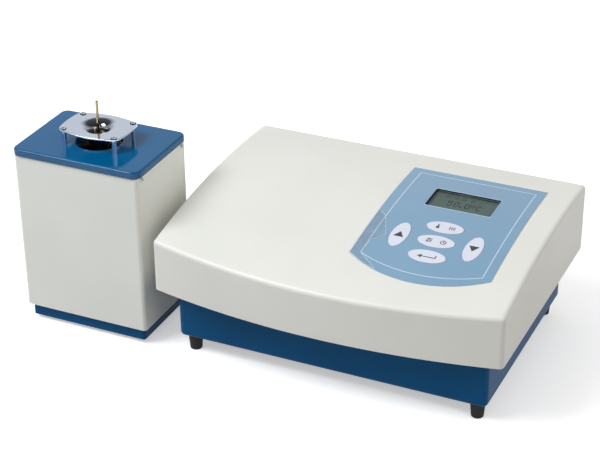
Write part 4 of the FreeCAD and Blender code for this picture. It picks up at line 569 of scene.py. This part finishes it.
# Rear panel and its fittings
# Brushed aluminium sheet with a mains inlet and fuse drawer, power rocker, round
# furnace socket and serial port. The fittings are black moulded plastic.
brushed_sheet = finish("brushed_sheet", (176, 178, 181), (206, 208, 210), 700.0,
                       {"Metallic": 1.0, "Roughness": 0.36}, (1500.0, 0.00005), (0.03, 1.0, 1.0))
dress(brushed_sheet, "rear_panel")
fitting_black = finish("fitting_black", (22, 22, 24), (34, 34, 36), 500.0,
                       {"Roughness": 0.42}, (2200.0, 0.00003))
dress(fitting_black, "mains_inlet", "fuse_drawer", "switch_body", "power_rocker")
nickel = finish("nickel", (170, 166, 158), (204, 200, 192), 500.0, {"Metallic": 1.0, "Roughness": 0.25})
dress(nickel, "cable_sockets")
fuse_glass = clear("fuse_glass", (226, 232, 230), 0.08)
dress(fuse_glass, "drawer_fuse")


# Furnace case
# A welded sleeve of sheet steel in cream enamel, with ventilation slots in its
# back. It stands on the blue base and takes the lid from above.
case_cream = finish("case_cream", (238, 239, 232), (243, 244, 237), 8.0,
                    {"Roughness": 0.4, "Coat Weight": 0.2, "Coat Roughness": 0.2}, (600.0, 0.00004))
dress(case_cream, "furnace_case")


# Furnace lid
# A thick plate with round corners in gloss blue enamel that mirrors what stands
# on it. Its lip goes down into the case.
lid_blue = finish("lid_blue", (0, 87, 135), (2, 93, 142), 10.0,
                  {"Roughness": 0.11, "Specular IOR Level": 0.36}, (420.0, 0.000006))
dress(lid_blue, "furnace_lid")


# Horn dish and its pillars
# A spun horn, polished and chromium plated, on four turned bright pillars. Faint
# rings from the spinning run round its throat. The throat's base colour is painted
# dark, a painted reflection of dark surroundings, and grows bright out to the rim.
furnace_middle = (-0.19595, -0.06405)
spun_grain = 900.0
# Where the painted dark reflection in the horn's throat starts and ends, and its levels.
throat_shade_inner = 0.0105
throat_shade_outer = 0.0195
throat_shade_low = 0.3
throat_shade_high = 0.72
throat_shade_speck = 0.05


def painted_throat_shade(tree, speck):
    """Share of the bright tone: none in the throat, all on the flat rim; the dark throat is a painted
    reflection.
    """
    place = tree.nodes.new("ShaderNodeTexCoord")
    level = tree.nodes.new("ShaderNodeMapping")
    level.inputs["Location"].default_value = (-furnace_middle[0], -furnace_middle[1], 0.0)
    level.inputs["Scale"].default_value = (1.0, 1.0, 0.0)
    reach = tree.nodes.new("ShaderNodeVectorMath")
    reach.operation = "LENGTH"
    share = tree.nodes.new("ShaderNodeMapRange")
    share.inputs["From Min"].default_value = throat_shade_inner
    share.inputs["From Max"].default_value = throat_shade_outer
    share.inputs["To Min"].default_value = throat_shade_low
    share.inputs["To Max"].default_value = throat_shade_high
    mottled = tree.nodes.new("ShaderNodeMath")
    mottled.operation = "MULTIPLY_ADD"
    mottled.inputs[1].default_value = throat_shade_speck
    tree.links.new(place.outputs["Object"], level.inputs["Vector"])
    tree.links.new(level.outputs["Vector"], reach.inputs[0])
    tree.links.new(reach.outputs["Value"], share.inputs["Value"])
    tree.links.new(speck, mottled.inputs[0])
    tree.links.new(share.outputs["Result"], mottled.inputs[2])
    return mottled.outputs["Value"]


def turned(name, low, high, roughness, grain, depth, throat=False):
    """Bright turned metal: fine rings about an upright axis; throat paints its middle dark as a painted
    reflection.
    """
    material = bpy.data.materials.new(name)
    material.use_nodes = True
    tree = material.node_tree
    shader = tree.nodes["Principled BSDF"]
    shader.inputs["Metallic"].default_value = 1.0
    shader.inputs["Roughness"].default_value = roughness
    place = tree.nodes.new("ShaderNodeTexCoord")
    shift = tree.nodes.new("ShaderNodeMapping")
    shift.inputs["Location"].default_value = (-furnace_middle[0], -furnace_middle[1], 0.0)
    rings = tree.nodes.new("ShaderNodeTexWave")
    rings.wave_type = "RINGS"
    rings.rings_direction = "SPHERICAL"
    rings.inputs["Scale"].default_value = grain
    rings.inputs["Distortion"].default_value = 1.5
    tree.links.new(place.outputs["Object"], shift.inputs["Vector"])
    tree.links.new(shift.outputs["Vector"], rings.inputs["Vector"])
    relief(tree, shader, rings.outputs["Fac"], depth)
    speck = cloud(tree, 60.0).outputs["Fac"]
    colour = between(tree, painted_throat_shade(tree, speck) if throat else speck, tone(*low), tone(*high))
    tree.links.new(colour, shader.inputs["Base Color"])
    return material


horn_top = 222.1
horn_sheet = 1.6
horn_edge = 0.64
horn_burr = 0.2
neck_end = 190.5
throat_radius = 9.0
flare_radius = 24.0
flare_middle = 14.5
flare_slope = math.radians(20.0)
rim_half_width = 37.8
rim_half_depth = 28.7
rim_side_radius = 101.6
rim_front_radius = 91.1
rim_blend = 7.4
horn_steps = 144
tight_steps = 10
wide_steps = 8
edge_turns = (0.0, 22.5, 45.0, 67.5, 90.0)
horn_sharp = math.radians(35.0)


def horn_wall(offset):
    """Half section of the horn, moved outwards by offset: neck, tight curve, wide curve."""
    wide = (flare_radius - flare_middle) / math.sin(flare_slope)
    tight = (flare_middle - throat_radius) / (1 - math.sin(flare_slope))
    wide_level = horn_top - wide
    tight_level = wide_level + (wide - tight) * math.cos(flare_slope)
    points = [(throat_radius + offset, neck_end)]
    for i in range(tight_steps + 1):
        angle = math.pi / 2 + (flare_slope - math.pi / 2) * i / tight_steps
        points.append((throat_radius + tight - (tight - offset) * math.sin(angle),
                       tight_level + (tight - offset) * math.cos(angle)))
    for i in range(1, wide_steps + 1):
        angle = flare_slope * (1 - i / wide_steps)
        points.append((flare_radius - (wide - offset) * math.sin(angle),
                       wide_level + (wide - offset) * math.cos(angle)))
    return points


def horn_section():
    """Closed section of the horn with its flat rim, round on top of the edge."""
    edge = [(rim_half_width - horn_edge + horn_edge * math.sin(math.radians(turn)),
             horn_top - horn_edge + horn_edge * math.cos(math.radians(turn))) for turn in edge_turns]
    bottom = horn_top - horn_sheet
    under = [(rim_half_width, bottom + horn_burr), (rim_half_width - horn_burr, bottom),
             (rim_half_width - horn_sheet, bottom)]
    return (horn_wall(0.0) + [(rim_half_width - horn_sheet, horn_top)] + edge + under
            + horn_wall(horn_sheet)[::-1])


def reckon(group, operation, *values):
    """Result of a math node; each value is a number or a socket."""
    node = group.nodes.new("ShaderNodeMath")
    node.operation = operation
    for socket, value in zip(node.inputs, values):
        if isinstance(value, (int, float)):
            socket.default_value = value
        else:
            group.links.new(value, socket)
    return node.outputs["Value"]


def bowed_reach(group, half, radius, along, across):
    """Distance from the middle to a bowed side, in the direction with these two cosines."""
    back = reckon(group, "SUBTRACT", radius, half)
    sideways = reckon(group, "POWER", reckon(group, "MULTIPLY", back, across), 2.0)
    forward = reckon(group, "SQRT", reckon(group, "SUBTRACT", reckon(group, "POWER", radius, 2.0), sideways))
    spare = reckon(group, "MULTIPLY", back, reckon(group, "ABSOLUTE", along))
    return reckon(group, "SUBTRACT", forward, spare)


def horn_shape(group, entry):
    """Turns the section about the upright axis and draws its rim out to four bowed sides."""
    count = group.nodes.new("GeometryNodeAttributeDomainSize")
    group.links.new(entry.outputs["Geometry"], count.inputs["Geometry"])
    grid = group.nodes.new("GeometryNodeMeshGrid")
    group.links.new(reckon(group, "ADD", entry.outputs["Steps"], 1.0), grid.inputs["Vertices X"])
    group.links.new(reckon(group, "ADD", count.outputs["Point Count"], 1.0), grid.inputs["Vertices Y"])
    spot = group.nodes.new("GeometryNodeInputPosition")
    parts = group.nodes.new("ShaderNodeSeparateXYZ")
    group.links.new(spot.outputs["Position"], parts.inputs["Vector"])
    turn = reckon(group, "MULTIPLY", reckon(group, "ADD", parts.outputs["X"], 0.5), 2 * math.pi)
    share = reckon(group, "ADD", parts.outputs["Y"], 0.5)
    row = reckon(group, "MULTIPLY", share, count.outputs["Point Count"])
    pick = group.nodes.new("GeometryNodeSampleIndex")
    pick.data_type = "FLOAT_VECTOR"
    group.links.new(entry.outputs["Geometry"], pick.inputs["Geometry"])
    group.links.new(spot.outputs["Position"], pick.inputs["Value"])
    group.links.new(reckon(group, "MODULO", reckon(group, "ROUND", row), count.outputs["Point Count"]),
                    pick.inputs["Index"])
    section = group.nodes.new("ShaderNodeSeparateXYZ")
    group.links.new(pick.outputs["Value"], section.inputs["Vector"])
    across = reckon(group, "COSINE", turn)
    back = reckon(group, "SINE", turn)
    front = bowed_reach(group, entry.outputs["Half depth"], entry.outputs["Front radius"], back, across)
    side = bowed_reach(group, entry.outputs["Half width"], entry.outputs["Side radius"], across, back)
    rim = reckon(group, "SMOOTH_MIN", front, side, entry.outputs["Corner blend"])
    flare = entry.outputs["Flare radius"]
    stretch = reckon(group, "DIVIDE", reckon(group, "SUBTRACT", rim, flare),
                     reckon(group, "SUBTRACT", entry.outputs["Half width"], flare))
    beyond = reckon(group, "MAXIMUM", reckon(group, "SUBTRACT", section.outputs["X"], flare), 0.0)
    reach = reckon(group, "ADD", reckon(group, "MINIMUM", section.outputs["X"], flare),
                   reckon(group, "MULTIPLY", beyond, stretch))
    place = group.nodes.new("ShaderNodeCombineXYZ")
    group.links.new(reckon(group, "MULTIPLY", reach, across), place.inputs["X"])
    group.links.new(reckon(group, "MULTIPLY", reach, back), place.inputs["Y"])
    group.links.new(section.outputs["Z"], place.inputs["Z"])
    move = group.nodes.new("GeometryNodeSetPosition")
    group.links.new(grid.outputs["Mesh"], move.inputs["Geometry"])
    group.links.new(place.outputs["Vector"], move.inputs["Position"])
    seam = group.nodes.new("GeometryNodeMergeByDistance")
    seam.inputs["Distance"].default_value = 0.000001
    group.links.new(move.outputs["Geometry"], seam.inputs["Geometry"])
    outward = group.nodes.new("GeometryNodeFlipFaces")
    group.links.new(seam.outputs["Geometry"], outward.inputs["Mesh"])
    return outward.outputs["Mesh"]


# Black washers under the dish screws; their dark ring is partly a painted shadow round each screw head.
washer_radius = 2.83
washer_width = 0.94
washer_height = 0.4
washer_span = (30.0, 20.0)


def washer_shape(group, entry):
    """Ring of rectangular section about an upright axis."""
    path = group.nodes.new("GeometryNodeCurvePrimitiveCircle")
    section = group.nodes.new("GeometryNodeCurvePrimitiveQuadrilateral")
    sweep = group.nodes.new("GeometryNodeCurveToMesh")
    group.links.new(entry.outputs["Radius"], path.inputs["Radius"])
    group.links.new(entry.outputs["Height"], section.inputs["Height"])
    group.links.new(entry.outputs["Width"], section.inputs["Width"])
    group.links.new(path.outputs["Curve"], sweep.inputs["Curve"])
    group.links.new(section.outputs["Curve"], sweep.inputs["Profile Curve"])
    return sweep.outputs["Mesh"]


chrome = turned("chrome", (222, 232, 250), (227, 237, 253), 0.07, spun_grain, 0.000004)
dress(chrome, "dish_pillars", "dish_screws")
# The horn's chrome has its throat painted dark as a painted reflection.
chrome_with_painted_throat = turned("chrome_with_painted_throat", (142, 143, 146), (224, 234, 251), 0.07, spun_grain, 0.000004,
                     throat=True)
horn_sizes = {"Steps": ("NodeSocketInt", horn_steps),
              "Flare radius": ("NodeSocketFloat", flare_radius / 1000),
              "Half width": ("NodeSocketFloat", rim_half_width / 1000),
              "Half depth": ("NodeSocketFloat", rim_half_depth / 1000),
              "Side radius": ("NodeSocketFloat", rim_side_radius / 1000),
              "Front radius": ("NodeSocketFloat", rim_front_radius / 1000),
              "Corner blend": ("NodeSocketFloat", rim_blend / 1000)}
horn_points = [(reach / 1000, 0.0, level / 1000) for reach, level in horn_section()]
horn_mesh = grown("spun_horn", horn_points, horn_shape, horn_sizes, chrome_with_painted_throat)
horn_mesh.transform(Matrix.Translation((*furnace_middle, 0.0)))
horn_mesh.shade_smooth()
horn_mesh.set_sharp_from_angle(angle=horn_sharp)
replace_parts(shown(horn_mesh, "housing"), "dish")
washer_black_shade = finish("washer_black_shade", (24, 24, 26), (38, 38, 40), 900.0, {"Roughness": 0.45})
washer_places = [Vector((*furnace_middle, horn_top / 1000)) + Vector((x, y, washer_height / 2)) / 1000
                 for x in (-washer_span[0], washer_span[0]) for y in (-washer_span[1], washer_span[1])]
washer_sizes = {"Radius": ("NodeSocketFloat", washer_radius / 1000),
                "Width": ("NodeSocketFloat", washer_width / 1000),
                "Height": ("NodeSocketFloat", washer_height / 1000)}
washer_mesh = planted("dish_washers_shade", washer_places, washer_shape, washer_sizes, washer_black_shade)
shown(washer_mesh, "housing")


# Heater inside the furnace
# An aluminium block, painted dark so the inside of the furnace reads as shade, in a
# split heating band and a sleeve of mineral wool. It stands on unglazed ceramic spacers, with the light
# beam's tubes.
block_dark_shade = finish("block_dark_shade", (58, 56, 55), (88, 85, 82), 120.0, {"Metallic": 1.0, "Roughness": 0.5},
                    (900.0, 0.00005))
dress(block_dark_shade, "heater_block")
band_sheet = finish("band_sheet", (128, 120, 110), (160, 150, 136), 80.0,
                    {"Metallic": 1.0, "Roughness": 0.42}, (700.0, 0.00004))
dress(band_sheet, "band_heater")
mineral_wool = finish("mineral_wool", (196, 190, 168), (232, 226, 206), 320.0,
                      {"Roughness": 0.95}, (420.0, 0.0012))
dress(mineral_wool, "insulation_sleeve")
bare_ceramic = finish("bare_ceramic", (220, 214, 202), (236, 231, 221), 300.0,
                      {"Roughness": 0.7}, (1600.0, 0.00005))
dress(bare_ceramic, "ceramic_spacers")
lens_glass = clear("lens_glass", (236, 240, 240), 0.03)
dress(lens_glass, "beam_lenses", "drip_collector")


# Sample cartridge
# Turned and polished brass: a cap that guides it in the horn, and a thin rod to lift
# it by. A stainless sleeve below holds the sample cup.
cartridge_brass = turned("cartridge_brass", (152, 138, 100), (170, 156, 116), 0.15, 2600.0, 0.00001)
dress(cartridge_brass, "handle_rod", "cartridge_cap", "sample_cup")
stainless = turned("stainless", (182, 182, 182), (204, 204, 203), 0.26, 2000.0, 0.00001)
dress(stainless, "cartridge_sleeve", "temperature_sensor")


# Floor and light
# A pale studio floor that runs out to white, one wide soft lamp and two weak ones, and
# a sky with a dark ceiling for mirrors. Diffuse light sees a darker floor and sky.
studio.view_settings.view_transform = "Standard"


def seen_directly(tree):
    """One for rays of the camera, of mirrors and of glass, else nought."""
    path = tree.nodes.new("ShaderNodeLightPath")
    first = tree.nodes.new("ShaderNodeMath")
    first.operation = "MAXIMUM"
    second = tree.nodes.new("ShaderNodeMath")
    second.operation = "MAXIMUM"
    tree.links.new(path.outputs["Is Camera Ray"], first.inputs[0])
    tree.links.new(path.outputs["Is Glossy Ray"], first.inputs[1])
    tree.links.new(first.outputs["Value"], second.inputs[0])
    tree.links.new(path.outputs["Is Transmission Ray"], second.inputs[1])
    return second.outputs["Value"]


sky_level = 0.52
sky = bpy.data.worlds.new("sky")
studio.world = sky
sky.use_nodes = True
sky_tree = sky.node_tree
sky_light = sky_tree.nodes["Background"]
sky_light.inputs["Color"].default_value = (1.0, 1.0, 1.0, 1.0)
sky_place = sky_tree.nodes.new("ShaderNodeTexCoord")
sky_parts = sky_tree.nodes.new("ShaderNodeSeparateXYZ")
sky_tree.links.new(sky_place.outputs["Generated"], sky_parts.inputs["Vector"])
ceiling = sky_tree.nodes.new("ShaderNodeMapRange")
ceiling.inputs["From Min"].default_value = 0.5
ceiling.inputs["From Max"].default_value = 0.68
ceiling.inputs["To Min"].default_value = 0.67
ceiling.inputs["To Max"].default_value = 0.07
sky_tree.links.new(sky_parts.outputs["Z"], ceiling.inputs["Value"])
sky_range = sky_tree.nodes.new("ShaderNodeMapRange")
sky_range.inputs["To Min"].default_value = sky_level
sky_tree.links.new(ceiling.outputs["Result"], sky_range.inputs["To Max"])
sky_tree.links.new(seen_directly(sky_tree), sky_range.inputs["Value"])
sky_tree.links.new(sky_range.outputs["Result"], sky_light.inputs["Strength"])

floor_half = 6.0
floor_white = 0.96
floor_grey = 0.18
floor_glow = 0.42
floor_mesh = bpy.data.meshes.new("floor")
floor_mesh.from_pydata([(-floor_half, -floor_half, 0), (floor_half, -floor_half, 0),
                        (floor_half, floor_half, 0), (-floor_half, floor_half, 0)], [], [(0, 1, 2, 3)])
floor_paint = bpy.data.materials.new("floor_paint")
floor_paint.use_nodes = True
floor_tree = floor_paint.node_tree
floor_shader = floor_tree.nodes["Principled BSDF"]
floor_shader.inputs["Roughness"].default_value = 0.9
floor_shader.inputs["Specular IOR Level"].default_value = 0.1
floor_tones = floor_tree.nodes.new("ShaderNodeMapRange")
floor_tones.inputs["To Min"].default_value = floor_grey
floor_tones.inputs["To Max"].default_value = floor_white
floor_tree.links.new(seen_directly(floor_tree), floor_tones.inputs["Value"])
floor_tree.links.new(floor_tones.outputs["Result"], floor_shader.inputs["Base Color"])
floor_light = floor_tree.nodes.new("ShaderNodeMath")
floor_light.operation = "MULTIPLY"
floor_light.inputs[1].default_value = floor_glow
floor_tree.links.new(seen_directly(floor_tree), floor_light.inputs[0])
floor_tree.links.new(floor_light.outputs["Value"], floor_shader.inputs["Emission Strength"])
floor_shader.inputs["Emission Color"].default_value = (1.0, 1.0, 1.0, 1.0)
floor_mesh.materials.append(floor_paint)
floor = bpy.data.objects.new("floor", floor_mesh)
studio.collection.objects.link(floor)


def lamp(name, place, aim, size, power, warmth):
    """Square soft lamp that looks at a point."""
    light = bpy.data.lights.new(name, "AREA")
    light.color = warmth
    light.size = size
    light.energy = power
    holder = bpy.data.objects.new(name, light)
    holder.location = place
    holder.rotation_euler = (Vector(aim) - Vector(place)).to_track_quat("-Z", "Y").to_euler()
    studio.collection.objects.link(holder)


lamp("soft_key", (-1.2, -1.2, 2.15), (0.0, 0.0, 0.1), 1.2, 45.0, (0.94, 0.97, 1.0))
lamp("right_fill", (2.2, -0.7, 1.2), (0.0, 0.0, 0.1), 1.2, 6.0, (1.0, 0.94, 0.82))
lamp("back_fill", (0.5, 2.3, 0.45), (0.0, 0.0, 0.1), 1.0, 2.5, (1.0, 1.0, 1.0))


# Camera
# A long lens in front and to the right of both units, above them and looking down.
camera_place = Vector((0.67592, -1.45138, 0.98355))
camera_turn = math.radians(24.850729)
camera_dip = math.radians(28.798144)
camera_roll = math.radians(-0.575534)
camera_lens = bpy.data.cameras.new("camera")
camera_lens.lens = 103.5918
camera_lens.sensor_width = 36.0
camera_lens.clip_start = 0.05
camera_lens.clip_end = 50.0
camera = bpy.data.objects.new("camera", camera_lens)
camera.matrix_world = (Matrix.Translation(camera_place) @ Matrix.Rotation(camera_turn, 4, "Z")
                       @ Matrix.Rotation(math.pi / 2 - camera_dip, 4, "X")
                       @ Matrix.Rotation(camera_roll, 4, "Z"))
studio.collection.objects.link(camera)
studio.camera = camera
